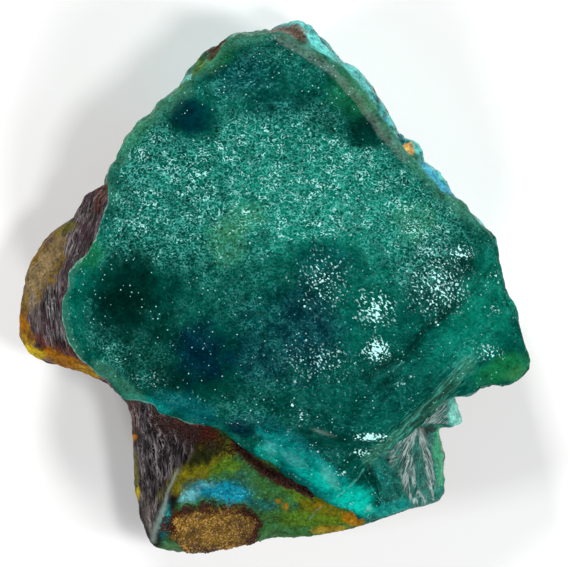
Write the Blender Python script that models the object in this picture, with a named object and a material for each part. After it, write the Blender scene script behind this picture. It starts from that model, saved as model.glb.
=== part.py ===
"""A hand specimen of smithsonite: a blue-green crust grown on brown iron-stained matrix, lying on its back.

The stone is one natural piece, so it is one solid. It starts as a UV sphere. The bearing of each vertex says which
way it lies from the middle of the stone, and its ring says how far it is along a profile that runs from the middle
of the crust's face, out over the crust's lip, down the flank to the widest outline, and in again underneath to the
broken-flat base. Lumps, ledges, ridges and hollows are then added where the stone has them.

+X is the stone's right, +Y its top and +Z the way the crust faces. The stone rests on the XY plane.
"""

from itertools import pairwise, product

import bmesh
import bpy
import numpy as np

MM = 0.001  # every size below is in millimetres, and the mesh is in metres

# The widest outline, clockwise from the top, as x and y.
OUTLINE = [
    (0.8, 26.3), (2.3, 26.6), (3.6, 26.0), (4.8, 24.9), (5.8, 23.6), (6.4, 22.9), (7.8, 22.1), (9.0, 20.9),
    (10.0, 19.4), (11.2, 17.3), (12.3, 15.4), (12.8, 14.9), (13.7, 14.6), (14.6, 13.6), (14.8, 12.5), (16.2, 11.6),
    (17.2, 10.4), (18.1, 9.0), (19.6, 7.4), (20.9, 6.1), (21.8, 5.0), (22.1, 3.6), (22.5, 1.6), (23.0, -0.2),
    (23.7, -1.8), (24.4, -3.7), (25.0, -5.5), (25.6, -7.2), (25.5, -8.1), (24.8, -8.9), (23.6, -9.6), (22.9, -9.8),
    (21.8, -9.6), (20.6, -10.1), (19.6, -10.7), (18.1, -10.9), (18.3, -11.6), (18.8, -13.4), (17.6, -13.8),
    (16.5, -14.0), (16.4, -14.7), (16.9, -16.7), (16.8, -17.8), (17.1, -19.2), (16.9, -20.6), (16.6, -21.3),
    (15.2, -21.8), (13.4, -22.2), (10.6, -23.2), (8.6, -23.9), (5.6, -24.6), (2.4, -25.0), (-0.6, -25.0),
    (-3.6, -25.4), (-5.2, -25.8), (-7.0, -26.3), (-9.0, -26.5), (-10.5, -26.4), (-11.8, -26.0), (-12.5, -25.3),
    (-12.9, -24.4), (-13.4, -23.0), (-13.6, -21.7), (-14.0, -20.2), (-14.1, -18.2), (-14.2, -16.2), (-14.2, -14.2),
    (-14.3, -13.0), (-14.7, -11.7), (-15.5, -10.7), (-16.3, -9.9), (-17.5, -9.1), (-18.3, -8.7), (-19.2, -8.4),
    (-20.0, -8.2), (-21.3, -7.8), (-22.7, -7.3), (-23.9, -6.9), (-24.7, -6.4), (-25.3, -5.2), (-25.6, -3.7),
    (-25.6, -2.7), (-25.4, -1.8), (-25.3, -1.0), (-25.0, 0.4), (-24.7, 1.7), (-24.1, 3.1), (-23.2, 4.4),
    (-22.2, 5.6), (-21.0, 6.5), (-20.1, 7.0), (-19.5, 8.2), (-18.9, 9.3), (-17.8, 9.9), (-17.0, 10.3),
    (-16.7, 11.4), (-16.3, 12.3), (-15.8, 12.9), (-15.4, 13.9), (-14.8, 15.1), (-14.1, 16.1), (-13.0, 17.0),
    (-12.2, 17.5), (-11.2, 18.5), (-10.1, 19.6), (-9.4, 20.2), (-8.3, 21.7), (-6.8, 23.5), (-5.3, 24.7),
    (-4.3, 25.3), (-2.5, 25.5), (-0.5, 25.8), (0.1, 26.2),
]

# The edge of the blue-green crust, clockwise from the top.
CRUST_EDGE = [
    (0.6, 25.7), (1.6, 25.3), (2.8, 24.6), (4.1, 23.9), (5.6, 23.0), (7.1, 21.9), (8.3, 20.7), (9.2, 19.3),
    (10.1, 17.9), (11.1, 16.5), (12.0, 15.3), (12.8, 14.2), (13.8, 13.1), (14.7, 12.0), (15.7, 11.0), (16.7, 9.9),
    (17.7, 9.0), (18.6, 8.2), (19.6, 7.3), (20.9, 6.0), (21.7, 4.9), (22.0, 3.6), (22.4, 1.6), (22.9, -0.2),
    (23.6, -1.8), (24.3, -3.7), (24.9, -5.5), (25.5, -7.2), (25.4, -8.1), (24.7, -8.8), (23.6, -9.5), (22.8, -9.7),
    (21.8, -9.5), (20.6, -10.0), (19.5, -10.6), (17.7, -10.8), (16.6, -11.6), (15.2, -12.8), (14.2, -14.1),
    (12.9, -15.0), (11.5, -16.0), (10.8, -16.6), (10.2, -17.1), (9.6, -17.7), (10.8, -21.5), (10.3, -22.1),
    (9.5, -22.7), (8.4, -23.3), (8.0, -22.5), (7.0, -22.0), (5.5, -21.6), (4.1, -20.9), (3.2, -20.0), (1.5, -19.0),
    (-0.5, -17.4), (-2.4, -16.4), (-4.0, -15.3), (-5.1, -14.5), (-5.7, -14.0), (-6.9, -13.6), (-8.4, -13.5),
    (-9.1, -13.2), (-10.6, -12.8), (-11.5, -12.4), (-12.3, -11.6), (-13.5, -11.2), (-14.9, -11.1), (-15.6, -10.4),
    (-16.8, -9.1), (-17.7, -8.5), (-18.5, -7.8), (-19.5, -6.9), (-20.6, -5.4), (-20.9, -3.9), (-21.2, -2.6),
    (-21.3, -1.3), (-20.6, 0.1), (-20.5, 1.5), (-19.8, 2.4), (-18.7, 3.4), (-17.9, 4.9), (-17.3, 6.6),
    (-16.6, 8.6), (-16.6, 10.1), (-16.5, 11.4), (-16.2, 12.3), (-15.7, 12.9), (-15.3, 13.9), (-14.7, 15.0),
    (-13.9, 15.9), (-12.5, 16.8), (-11.6, 17.5), (-10.2, 18.8), (-8.9, 20.4), (-7.6, 21.7), (-5.8, 23.2),
    (-4.4, 25.0), (-2.5, 25.3), (-0.6, 25.5),
]

# Heights by bearing, in degrees anticlockwise from +X.
WAIST_HEIGHT = {
    0: 11.4, 30: 11.2, 45: 10.8, 60: 10.0, 85: 9.0, 100: 11.0, 130: 11.6, 150: 11.8, 160: 9.6, 175: 8.6, 190: 8.2,
    200: 9.2, 208: 10.6, 217: 10.4, 226: 9.0, 240: 7.0, 250: 6.0, 270: 6.4, 285: 6.8, 300: 7.6, 310: 7.8,
    318: 8.4, 325: 9.0, 332: 10.2, 343: 10.4, 351: 11.0,
}
# How far the flank sags between the crust's foot and the waist.
FLANK_HOLLOW = {
    0: 0.0, 140: 0.0, 158: 0.9, 175: 1.5, 195: 1.2, 206: 0.2, 222: 0.6, 236: 1.3, 246: 0.5, 262: 0.2, 292: 0.4,
    304: 1.2, 318: 1.4, 328: 0.4, 340: 0.0,
}

# The crust's face is a low dome, about a point a little to the left of the middle.
DOME_TOP, DOME_MIDDLE = 19.6, (-1.0, 1.0)
DOME_BEND = (0.0085, 0.0055)  # how fast it falls along x and along y, per millimetre squared
RIM_FALL, RIM_WIDTH = 1.1, 3.2  # it rolls over towards its edge
# Along its lower edge the face steps down to a bench, which slopes on downwards.
LEDGE = [(-16.0, -12.6), (-8.4, -12.0), (-4.0, -13.2), (0.8, -14.1), (5.0, -14.4), (9.0, -15.0), (13.0, -16.6)]
LEDGE_DROP, LEDGE_SLOPE, BENCH_FALL = 1.6, 1.5, 0.36
# A fracture crosses the face at the right, and the stone beyond it sits lower.
FRACTURE = [(21.5, 2.6), (18.4, -1.4), (15.2, -3.4), (13.0, -7.1), (11.6, -8.5)]
FRACTURE_DROP, FRACTURE_WIDTH = 0.5, 3.4

# The face's rings run round evenly, without the rim's corners, until close to the rim.
RIM_EVENING = np.radians(np.linspace(-18, 18, 13))

LIP_THICKNESS = 1.7
LIP_ROUNDING = 0.7
LIP_OVERHANG = 0.35
UNDER_TAPER = 1.35  # over 1 draws the underside in, which leaves its lumps room to stand out
BASE_SHARE = 0.50  # the base's size as a share of the outline
BASE_SINK = 0.45  # how far the base would sink below the table if it weren't broken flat

# Places on the crust's face, as (x, y), radius along x, radius along y, height.
FACE_LUMPS = [
    ((-16.6, -1.4), 5.2, 5.6, 0.8),  # the lobe at the left
    ((-5.0, 6.0), 8.0, 6.0, 0.6),
    ((4.0, 14.5), 6.0, 5.0, 0.5),
    ((-3.5, -7.5), 6.5, 4.5, 0.4),
    ((10.0, -6.0), 1.8, 1.7, 0.65),  # the knobs that catch the light
    ((9.4, -2.9), 2.0, 1.5, 0.5),
    ((15.5, 0.3), 3.2, 2.4, 0.7),
    ((18.9, 3.4), 1.4, 1.3, 0.45),
    ((21.6, 1.0), 1.3, 1.5, 0.35),
    ((22.3, -6.6), 1.5, 1.2, 0.4),
    ((-9.5, 15.8), 3.6, 3.0, 0.4),
    ((-8.0, 17.0), 1.7, 1.7, -0.45),
    ((-14.6, -0.3), 2.2, 2.6, -0.35),  # the dark dimple in the lobe
    ((-7.2, -7.2), 2.4, 2.0, -0.35),
    ((3.0, -11.0), 4.5, 2.0, 0.35),
]

# Ridges and lumps on the flank, as seen from above.
PILLAR_RIDGE = [
    (-4.6, -14.8), (-6.4, -16.4), (-8.4, -17.3), (-9.5, -18.0), (-10.3, -19.4), (-10.9, -20.8), (-11.5, -23.0),
    (-12.3, -25.2),
]
WEDGE_RIDGE = [(-3.9, -15.4), (-2.3, -17.0), (-0.8, -18.2), (0.8, -19.1), (2.3, -19.8), (3.7, -20.5)]
WING_RIDGE = [(-17.4, 9.2), (-19.6, 6.4), (-22.0, 4.0), (-23.6, 1.0), (-24.2, -2.4), (-23.6, -5.2), (-20.0, -7.4)]
FLANK_RIDGES = [(PILLAR_RIDGE, 2.2, 1.5), (WEDGE_RIDGE, 1.0, 0.7), (WING_RIDGE, 1.9, 0.6)]  # half width, height
FLANK_LUMPS = [
    ((-6.0, -24.0), 4.4, 2.1, 1.9),  # the rusty nodule
    ((-4.9, -20.2), 3.2, 1.5, -0.7),  # the blue hollow above it
    ((1.5, -22.0), 3.4, 1.8, -0.5),
    ((13.4, -18.2), 2.6, 3.4, -0.6),  # the splintered hollow at the lower right
    ((16.9, -12.6), 1.0, 1.3, 0.8),  # the chip beside it
    ((3.4, 25.2), 1.9, 1.6, 0.5),  # the sky-blue lobe at the top
    ((13.6, 14.2), 0.9, 0.9, 0.6),  # the ochre nub
]

# Rounded lumps under the upper right edge, as bearing, height, radius, and how far they stand out.
BACK_LUMPS = [
    (14, 6.6, 3.6, 1.4), (31, 4.8, 4.0, 1.9), (41, 8.6, 3.0, 1.1), (52, 5.4, 3.8, 1.8), (63, 8.2, 3.0, 1.2),
    (72, 4.6, 4.0, 1.9), (84, 7.4, 3.4, 1.3), (97, 4.8, 3.6, 1.7), (108, 7.8, 3.0, 1.2), (122, 5.6, 3.4, 1.4),
    (356, 4.6, 3.4, 1.3), (186, 4.6, 3.4, 1.0), (262, 3.4, 3.0, 1.0),
]
# Breaks across the underside, as an outward direction and its distance from the middle of the stone.
MIDDLE = np.array([0.0, 0.0, 9.0])
BREAKS = [
    ((-0.80, 0.10, -0.59), 20.6), ((-0.46, -0.68, -0.57), 20.2), ((0.34, -0.74, -0.58), 19.6),
    ((0.80, -0.26, -0.54), 20.4), ((-0.52, 0.66, -0.54), 19.6),
]

BREAK_BLUNTNESS = 0.85  # 1 would leave a break quite flat

# The unevenness of each part of the surface, as layers of height, size and seed.
FACE_SWELL = [(0.30, 4.6, 1), (0.12, 2.0, 2)]
FLANK_SWELL = [(0.35, 2.8, 3)]
UNDER_SWELL = [(0.8, 8.0, 6), (0.6, 4.5, 4), (0.3, 2.4, 5)]
BACK_LUMP_REACH = 0.93  # how far out the lumps' middles are, as a share of the outline

COLUMNS = 104
# How many rings each stretch of the profile has: face, lip, flank, underside and base.
STRETCH_RINGS = [18, 3, 10, 10, 4]
FACE, LIP, FLANK, UNDER, BASE = range(5)


def outline_radius(points, bearing):
    """How far a closed outline is from the middle, in each of the directions."""
    x, y = np.array(points).T
    turn = np.arctan2(y, x)
    order = np.argsort(turn)
    return np.interp(bearing, turn[order], np.hypot(x, y)[order], period=2 * np.pi)


def by_bearing(heights, bearing):
    """Heights given at a few bearings, read between them."""
    return np.interp(np.degrees(bearing), list(heights), list(heights.values()), period=360)


def noise(points, size, seed):
    """Smooth lattice noise between -1 and 1, with features about as wide as size."""
    places = points / size + 37.0 * seed
    cell = np.floor(places).astype(np.int64)
    part = places - cell
    part = part * part * (3 - 2 * part)
    total = np.zeros(len(points))
    for corner in product((0, 1), repeat=3):
        x, y, z = (cell + corner).T
        mixed = (x * 73856093) ^ (y * 19349663) ^ (z * 83492791) ^ (seed * 2654435)
        mixed = (mixed ^ (mixed >> 13)) * 1274126177 & 0x7FFFFFFF
        value = ((mixed ^ (mixed >> 16)) & 0xFFFF) / 0x8000 - 1
        total += value * np.prod(np.where(corner, part, 1 - part), axis=1)
    return total


def swell(points, layers):
    return sum(height * noise(points, size, seed) for height, size, seed in layers)


def lumps(x, y, places):
    """The sum of round swellings, or hollows where the height is negative."""
    total = np.zeros(len(x))
    for (middle_x, middle_y), radius_x, radius_y, height in places:
        apart = ((x - middle_x) / radius_x) ** 2 + ((y - middle_y) / radius_y) ** 2
        total += height * np.exp(-apart)
    return total


def smooth_step(value, low, high):
    share = np.clip((value - low) / (high - low), 0, 1)
    return share * share * (3 - 2 * share)


def from_line(x, y, line):
    """The distance to a broken line, and on which side of it each place is: over 0 is to the left of its course."""
    nearest = np.full(len(x), np.inf)
    side = np.zeros(len(x))
    for (x0, y0), (x1, y1) in pairwise(line):
        along_x, along_y = x1 - x0, y1 - y0
        share = ((x - x0) * along_x + (y - y0) * along_y) / (along_x**2 + along_y**2)
        share = np.clip(share, 0, 1)
        off_x, off_y = x - x0 - share * along_x, y - y0 - share * along_y
        apart = np.hypot(off_x, off_y)
        closer = apart < nearest
        nearest = np.where(closer, apart, nearest)
        side = np.where(closer, np.sign(along_x * off_y - along_y * off_x), side)
    return nearest, side


def face_height(x, y):
    """The crust's face: a low dome that rolls over at its rim, with lumps, a fracture, and a bench along the bottom."""
    height = DOME_TOP - DOME_BEND[0] * (x - DOME_MIDDLE[0]) ** 2 - DOME_BEND[1] * (y - DOME_MIDDLE[1]) ** 2
    from_edge, _ = from_line(x, y, [*CRUST_EDGE, CRUST_EDGE[0]])
    height -= RIM_FALL * np.clip(1 - from_edge / RIM_WIDTH, 0, 1) ** 2
    below_ledge = np.interp(x, *np.array(LEDGE).T) - y
    height -= LEDGE_DROP * smooth_step(below_ledge, -0.4 * LEDGE_SLOPE, LEDGE_SLOPE)
    height -= BENCH_FALL * np.maximum(below_ledge, 0)
    crack, side = from_line(x, y, FRACTURE)
    height -= FRACTURE_DROP * np.clip(1 - crack / FRACTURE_WIDTH, 0, 1) * (side > 0)
    height += lumps(x, y, FACE_LUMPS)
    off_rim = smooth_step(from_edge, LIP_ROUNDING, RIM_WIDTH)
    return height + swell(np.column_stack([x, y, height]), FACE_SWELL) * off_rim


def surface(bearing, stretch, share):
    """The stone's surface in millimetres: which way, which stretch of the profile, and how far along that."""
    widest = outline_radius(OUTLINE, bearing)
    edge = outline_radius(CRUST_EDGE, bearing)
    along_x, along_y = np.cos(bearing), np.sin(bearing)

    rim = edge - LIP_ROUNDING
    rim_height = face_height(rim * along_x, rim * along_y)
    even_rim = np.mean([outline_radius(CRUST_EDGE, bearing + turn) for turn in RIM_EVENING], axis=0) - LIP_ROUNDING
    face_radius = even_rim * share**0.92 + (rim - even_rim) * share**5
    face = face_height(face_radius * along_x, face_radius * along_y)

    lip_turn = share * np.pi
    lip_radius = rim + LIP_ROUNDING * np.sin(lip_turn) - LIP_OVERHANG * share**2
    lip = rim_height - LIP_THICKNESS * (1 - np.cos(lip_turn)) / 2

    foot, foot_height = rim - LIP_OVERHANG, rim_height - LIP_THICKNESS
    waist = np.minimum(by_bearing(WAIST_HEIGHT, bearing), foot_height - 0.6)
    flank_radius = foot + (widest - foot) * np.sin(share * np.pi / 2)
    flank = foot_height + (waist - foot_height) * share
    flank -= by_bearing(FLANK_HOLLOW, bearing) * np.sin(share * np.pi) * (1 - share)

    base = BASE_SHARE * widest
    under_turn = share * np.pi / 2
    under_radius = base + (widest - base) * np.cos(under_turn) ** UNDER_TAPER
    under = waist - (waist + BASE_SINK) * np.sin(under_turn)

    radius = np.choose(stretch, [face_radius, lip_radius, flank_radius, under_radius, base * (1 - share)])
    height = np.choose(stretch, [face, lip, flank, under, np.full(len(share), -BASE_SINK)])
    points = np.column_stack([radius * along_x, radius * along_y, height])
    return broken(roughened(points, stretch, share), stretch, widest)


def roughened(points, stretch, share):
    """Adds what stands out of the flank and the underside, and their own unevenness."""
    x, y, _ = points.T
    outward = points - MIDDLE
    outward /= np.linalg.norm(outward, axis=1)[:, None]
    mid_flank = (stretch == FLANK) * smooth_step(share, 0, 0.15) * (1 - smooth_step(share, 0.8, 1.0))
    below = (stretch == UNDER) * smooth_step(share, 0, 0.15) + (stretch == BASE)

    stand = lumps(x, y, FLANK_LUMPS) * mid_flank
    for line, half_width, height in FLANK_RIDGES:
        away, _ = from_line(x, y, line)
        stand += height * np.clip(1 - away / half_width, 0, 1) * mid_flank
    stand += swell(points, FLANK_SWELL) * mid_flank + swell(points, UNDER_SWELL) * below
    for turn, height, radius, out in BACK_LUMPS:
        turn = np.radians(turn)
        reach = BACK_LUMP_REACH * outline_radius(OUTLINE, turn)
        middle = np.array([reach * np.cos(turn), reach * np.sin(turn), height])
        apart = np.linalg.norm(points - middle, axis=1) / radius
        stand += out * np.sqrt(np.clip(1 - apart**2, 0, 1)) * below
    return points + outward * stand[:, None]


def broken(points, stretch, widest):
    """Cuts the underside along its breaks, keeps the outline, and flattens what would sink into the table."""
    below = stretch >= UNDER
    for direction, distance in BREAKS:
        direction = np.array(direction) / np.linalg.norm(direction)
        beyond = np.maximum((points - MIDDLE) @ direction - distance, 0) * below
        points = points - BREAK_BLUNTNESS * beyond[:, None] * direction
    radius = np.hypot(points[:, 0], points[:, 1])
    points[:, :2] *= np.minimum(1, widest / np.maximum(radius, 1e-6))[:, None]
    points[:, 2] = np.maximum(points[:, 2], 0)
    return points


def stone_mesh():
    """A UV sphere, each of whose vertices is moved to its place on the stone."""
    rings = sum(STRETCH_RINGS)
    bm = bmesh.new()
    bmesh.ops.create_uvsphere(bm, u_segments=COLUMNS, v_segments=rings, radius=1.0)
    start = np.array([vertex.co for vertex in bm.verts], float)
    bearing = np.arctan2(start[:, 1], start[:, 0])
    ring = np.rint(np.arccos(np.clip(start[:, 2], -1, 1)) / np.pi * rings)
    first_rings = np.cumsum([0, *STRETCH_RINGS[:-1]])
    stretch = np.maximum(np.searchsorted(first_rings, ring) - 1, 0)
    share = (ring - first_rings[stretch]) / np.array(STRETCH_RINGS)[stretch]
    for vertex, place in zip(bm.verts, surface(bearing, stretch, share) * MM, strict=True):
        vertex.co = place
    bmesh.ops.triangulate(bm, faces=bm.faces)
    bmesh.ops.recalc_face_normals(bm, faces=bm.faces)
    mesh = bpy.data.meshes.new("stone")
    bm.to_mesh(mesh)
    bm.free()
    mesh.shade_smooth()
    mesh.set_sharp_from_angle(angle=np.radians(40))
    return mesh


def stone_material():
    """The crust's blue-green, with a waxy shine."""
    material = bpy.data.materials.new("smithsonite")
    material.use_nodes = True
    shader = material.node_tree.nodes["Principled BSDF"]
    shader.inputs["Base Color"].default_value = (0.005, 0.13, 0.10, 1.0)
    shader.inputs["Roughness"].default_value = 0.35
    shader.inputs["Metallic"].default_value = 0.0
    return material


for old in list(bpy.data.objects):
    bpy.data.objects.remove(old)
stone = bpy.data.objects.new("stone", stone_mesh())
stone.data.materials.append(stone_material())
bpy.context.scene.collection.objects.link(stone)
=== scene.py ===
# %% [markdown]
# # A hand specimen of smithsonite
# A crust of blue-green zinc carbonate has grown over brown, iron-stained matrix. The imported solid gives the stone's
# size and its main forms. This script makes the same stone again with a far finer skin, strews the crust with the
# tiny crystals that make it sparkle, and works out every colour with numpy and shader nodes.

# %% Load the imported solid
from itertools import pairwise, product

import bpy
import numpy as np
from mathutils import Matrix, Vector


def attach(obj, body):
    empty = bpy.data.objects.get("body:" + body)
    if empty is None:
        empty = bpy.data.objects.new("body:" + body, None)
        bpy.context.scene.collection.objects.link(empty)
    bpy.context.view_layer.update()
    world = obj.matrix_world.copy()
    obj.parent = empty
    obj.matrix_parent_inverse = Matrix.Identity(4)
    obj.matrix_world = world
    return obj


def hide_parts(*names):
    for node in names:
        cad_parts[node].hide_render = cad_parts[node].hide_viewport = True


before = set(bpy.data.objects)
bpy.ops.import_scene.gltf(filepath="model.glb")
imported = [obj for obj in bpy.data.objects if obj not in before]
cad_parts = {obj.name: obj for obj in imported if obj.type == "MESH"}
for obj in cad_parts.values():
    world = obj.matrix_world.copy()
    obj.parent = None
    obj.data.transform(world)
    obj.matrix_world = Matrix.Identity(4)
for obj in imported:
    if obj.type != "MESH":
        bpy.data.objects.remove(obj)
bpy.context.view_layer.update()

MM = 0.001  # shapes are worked out in millimetres, and meshes are in metres

# %% [markdown]
# ## The shape, in functions
# Seen from above, the stone has two outlines: the widest one, and the crust's edge, which stands over the matrix. So
# every place on its skin can be given by a bearing, a stretch of the profile (face, lip, flank, underside, base) and
# a share along that stretch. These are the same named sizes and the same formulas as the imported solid's, and the fine
# skin follows it to within a fraction of a millimetre.

# %% The two outlines
# The widest outline, clockwise from the top, as x and y.
OUTLINE = [
    (0.8, 26.3), (2.3, 26.6), (3.6, 26.0), (4.8, 24.9), (5.8, 23.6), (6.4, 22.9), (7.8, 22.1), (9.0, 20.9),
    (10.0, 19.4), (11.2, 17.3), (12.3, 15.4), (12.8, 14.9), (13.7, 14.6), (14.6, 13.6), (14.8, 12.5), (16.2, 11.6),
    (17.2, 10.4), (18.1, 9.0), (19.6, 7.4), (20.9, 6.1), (21.8, 5.0), (22.1, 3.6), (22.5, 1.6), (23.0, -0.2),
    (23.7, -1.8), (24.4, -3.7), (25.0, -5.5), (25.6, -7.2), (25.5, -8.1), (24.8, -8.9), (23.6, -9.6), (22.9, -9.8),
    (21.8, -9.6), (20.6, -10.1), (19.6, -10.7), (18.1, -10.9), (18.3, -11.6), (18.8, -13.4), (17.6, -13.8),
    (16.5, -14.0), (16.4, -14.7), (16.9, -16.7), (16.8, -17.8), (17.1, -19.2), (16.9, -20.6), (16.6, -21.3),
    (15.2, -21.8), (13.4, -22.2), (10.6, -23.2), (8.6, -23.9), (5.6, -24.6), (2.4, -25.0), (-0.6, -25.0),
    (-3.6, -25.4), (-5.2, -25.8), (-7.0, -26.3), (-9.0, -26.5), (-10.5, -26.4), (-11.8, -26.0), (-12.5, -25.3),
    (-12.9, -24.4), (-13.4, -23.0), (-13.6, -21.7), (-14.0, -20.2), (-14.1, -18.2), (-14.2, -16.2), (-14.2, -14.2),
    (-14.3, -13.0), (-14.7, -11.7), (-15.5, -10.7), (-16.3, -9.9), (-17.5, -9.1), (-18.3, -8.7), (-19.2, -8.4),
    (-20.0, -8.2), (-21.3, -7.8), (-22.7, -7.3), (-23.9, -6.9), (-24.7, -6.4), (-25.3, -5.2), (-25.6, -3.7),
    (-25.6, -2.7), (-25.4, -1.8), (-25.3, -1.0), (-25.0, 0.4), (-24.7, 1.7), (-24.1, 3.1), (-23.2, 4.4), (-22.2, 5.6),
    (-21.0, 6.5), (-20.1, 7.0), (-19.5, 8.2), (-18.9, 9.3), (-17.8, 9.9), (-17.0, 10.3), (-16.7, 11.4), (-16.3, 12.3),
    (-15.8, 12.9), (-15.4, 13.9), (-14.8, 15.1), (-14.1, 16.1), (-13.0, 17.0), (-12.2, 17.5), (-11.2, 18.5),
    (-10.1, 19.6), (-9.4, 20.2), (-8.3, 21.7), (-6.8, 23.5), (-5.3, 24.7), (-4.3, 25.3), (-2.5, 25.5), (-0.5, 25.8),
    (0.1, 26.2),
]

# The edge of the blue-green crust, clockwise from the top.
CRUST_EDGE = [
    (0.6, 25.7), (1.6, 25.3), (2.8, 24.6), (4.1, 23.9), (5.6, 23.0), (7.1, 21.9), (8.3, 20.7), (9.2, 19.3),
    (10.1, 17.9), (11.1, 16.5), (12.0, 15.3), (12.8, 14.2), (13.8, 13.1), (14.7, 12.0), (15.7, 11.0), (16.7, 9.9),
    (17.7, 9.0), (18.6, 8.2), (19.6, 7.3), (20.9, 6.0), (21.7, 4.9), (22.0, 3.6), (22.4, 1.6), (22.9, -0.2),
    (23.6, -1.8), (24.3, -3.7), (24.9, -5.5), (25.5, -7.2), (25.4, -8.1), (24.7, -8.8), (23.6, -9.5), (22.8, -9.7),
    (21.8, -9.5), (20.6, -10.0), (19.5, -10.6), (17.7, -10.8), (16.6, -11.6), (15.2, -12.8), (14.2, -14.1),
    (12.9, -15.0), (11.5, -16.0), (10.8, -16.6), (10.2, -17.1), (9.6, -17.7), (10.8, -21.5), (10.3, -22.1),
    (9.5, -22.7), (8.4, -23.3), (8.0, -22.5), (7.0, -22.0), (5.5, -21.6), (4.1, -20.9), (3.2, -20.0), (1.5, -19.0),
    (-0.5, -17.4), (-2.4, -16.4), (-4.0, -15.3), (-5.1, -14.5), (-5.7, -14.0), (-6.9, -13.6), (-8.4, -13.5),
    (-9.1, -13.2), (-10.6, -12.8), (-11.5, -12.4), (-12.3, -11.6), (-13.5, -11.2), (-14.9, -11.1), (-15.6, -10.4),
    (-16.8, -9.1), (-17.7, -8.5), (-18.5, -7.8), (-19.5, -6.9), (-20.6, -5.4), (-20.9, -3.9), (-21.2, -2.6),
    (-21.3, -1.3), (-20.6, 0.1), (-20.5, 1.5), (-19.8, 2.4), (-18.7, 3.4), (-17.9, 4.9), (-17.3, 6.6), (-16.6, 8.6),
    (-16.6, 10.1), (-16.5, 11.4), (-16.2, 12.3), (-15.7, 12.9), (-15.3, 13.9), (-14.7, 15.0), (-13.9, 15.9),
    (-12.5, 16.8), (-11.6, 17.5), (-10.2, 18.8), (-8.9, 20.4), (-7.6, 21.7), (-5.8, 23.2), (-4.4, 25.0), (-2.5, 25.3),
    (-0.6, 25.5),
]

RIM_LINE = [*CRUST_EDGE, CRUST_EDGE[0]]

# %% Heights that change with the bearing
# Heights by bearing, in degrees anticlockwise from +X.
WAIST_HEIGHT = {
    0: 11.4, 30: 11.2, 45: 10.8, 60: 10.0, 85: 9.0, 100: 11.0, 130: 11.6, 150: 11.8, 160: 9.6, 175: 8.6, 190: 8.2,
    200: 9.2, 208: 10.6, 217: 10.4, 226: 9.0, 240: 7.0, 250: 6.0, 270: 6.4, 285: 6.8, 300: 7.6, 310: 7.8,
    318: 8.4, 325: 9.0, 332: 10.2, 343: 10.4, 351: 11.0,
}
# How far the flank sags between the crust's foot and the waist.
FLANK_HOLLOW = {
    0: 0.0, 140: 0.0, 158: 0.9, 175: 1.5, 195: 1.2, 206: 0.2, 222: 0.6, 236: 1.3, 246: 0.5, 262: 0.2, 292: 0.4,
    304: 1.2, 318: 1.4, 328: 0.4, 340: 0.0,
}

# %% The crust's face
# The crust's face is a low dome, about a point a little to the left of the middle.
DOME_TOP, DOME_MIDDLE = 19.6, (-1.0, 1.0)
DOME_BEND = (0.0085, 0.0055)  # how fast it falls along x and along y, per millimetre squared
RIM_FALL, RIM_WIDTH = 1.1, 3.2  # it rolls over towards its edge
# Along its lower edge the face steps down to a bench, which slopes on downwards.
LEDGE = [(-16.0, -12.6), (-8.4, -12.0), (-4.0, -13.2), (0.8, -14.1), (5.0, -14.4), (9.0, -15.0), (13.0, -16.6)]
LEDGE_DROP, LEDGE_SLOPE, BENCH_FALL = 1.6, 1.5, 0.36
# A fracture crosses the face at the right, and the stone beyond it sits lower.
FRACTURE = [(21.5, 2.6), (18.4, -1.4), (15.2, -3.4), (13.0, -7.1), (11.6, -8.5)]
FRACTURE_DROP, FRACTURE_WIDTH = 0.5, 3.4

# The face's rings run round evenly, without the rim's corners, until close to the rim.
RIM_EVENING = np.radians(np.linspace(-18, 18, 13))

LIP_THICKNESS = 1.7
LIP_ROUNDING = 0.7
LIP_OVERHANG = 0.35
UNDER_TAPER = 1.35  # over 1 draws the underside in, which leaves its lumps room to stand out
BASE_SHARE = 0.50  # the base's size as a share of the outline
BASE_SINK = 0.45  # how far the base would sink below the table if it weren't broken flat

# Places on the crust's face, as (x, y), radius along x, radius along y, height.
FACE_LUMPS = [
    ((-16.6, -1.4), 5.2, 5.6, 0.8),  # the lobe at the left
    ((-5.0, 6.0), 8.0, 6.0, 0.6),
    ((4.0, 14.5), 6.0, 5.0, 0.5),
    ((-3.5, -7.5), 6.5, 4.5, 0.4),
    ((10.0, -6.0), 1.8, 1.7, 0.65),  # the knobs that catch the light
    ((9.4, -2.9), 2.0, 1.5, 0.5),
    ((15.5, 0.3), 3.2, 2.4, 0.7),
    ((18.9, 3.4), 1.4, 1.3, 0.45),
    ((21.6, 1.0), 1.3, 1.5, 0.35),
    ((22.3, -6.6), 1.5, 1.2, 0.4),
    ((-9.5, 15.8), 3.6, 3.0, 0.4),
    ((-8.0, 17.0), 1.7, 1.7, -0.45),
    ((-14.6, -0.3), 2.2, 2.6, -0.35),  # the dark dimple in the lobe
    ((-7.2, -7.2), 2.4, 2.0, -0.35),
    ((3.0, -11.0), 4.5, 2.0, 0.35),
]

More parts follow.
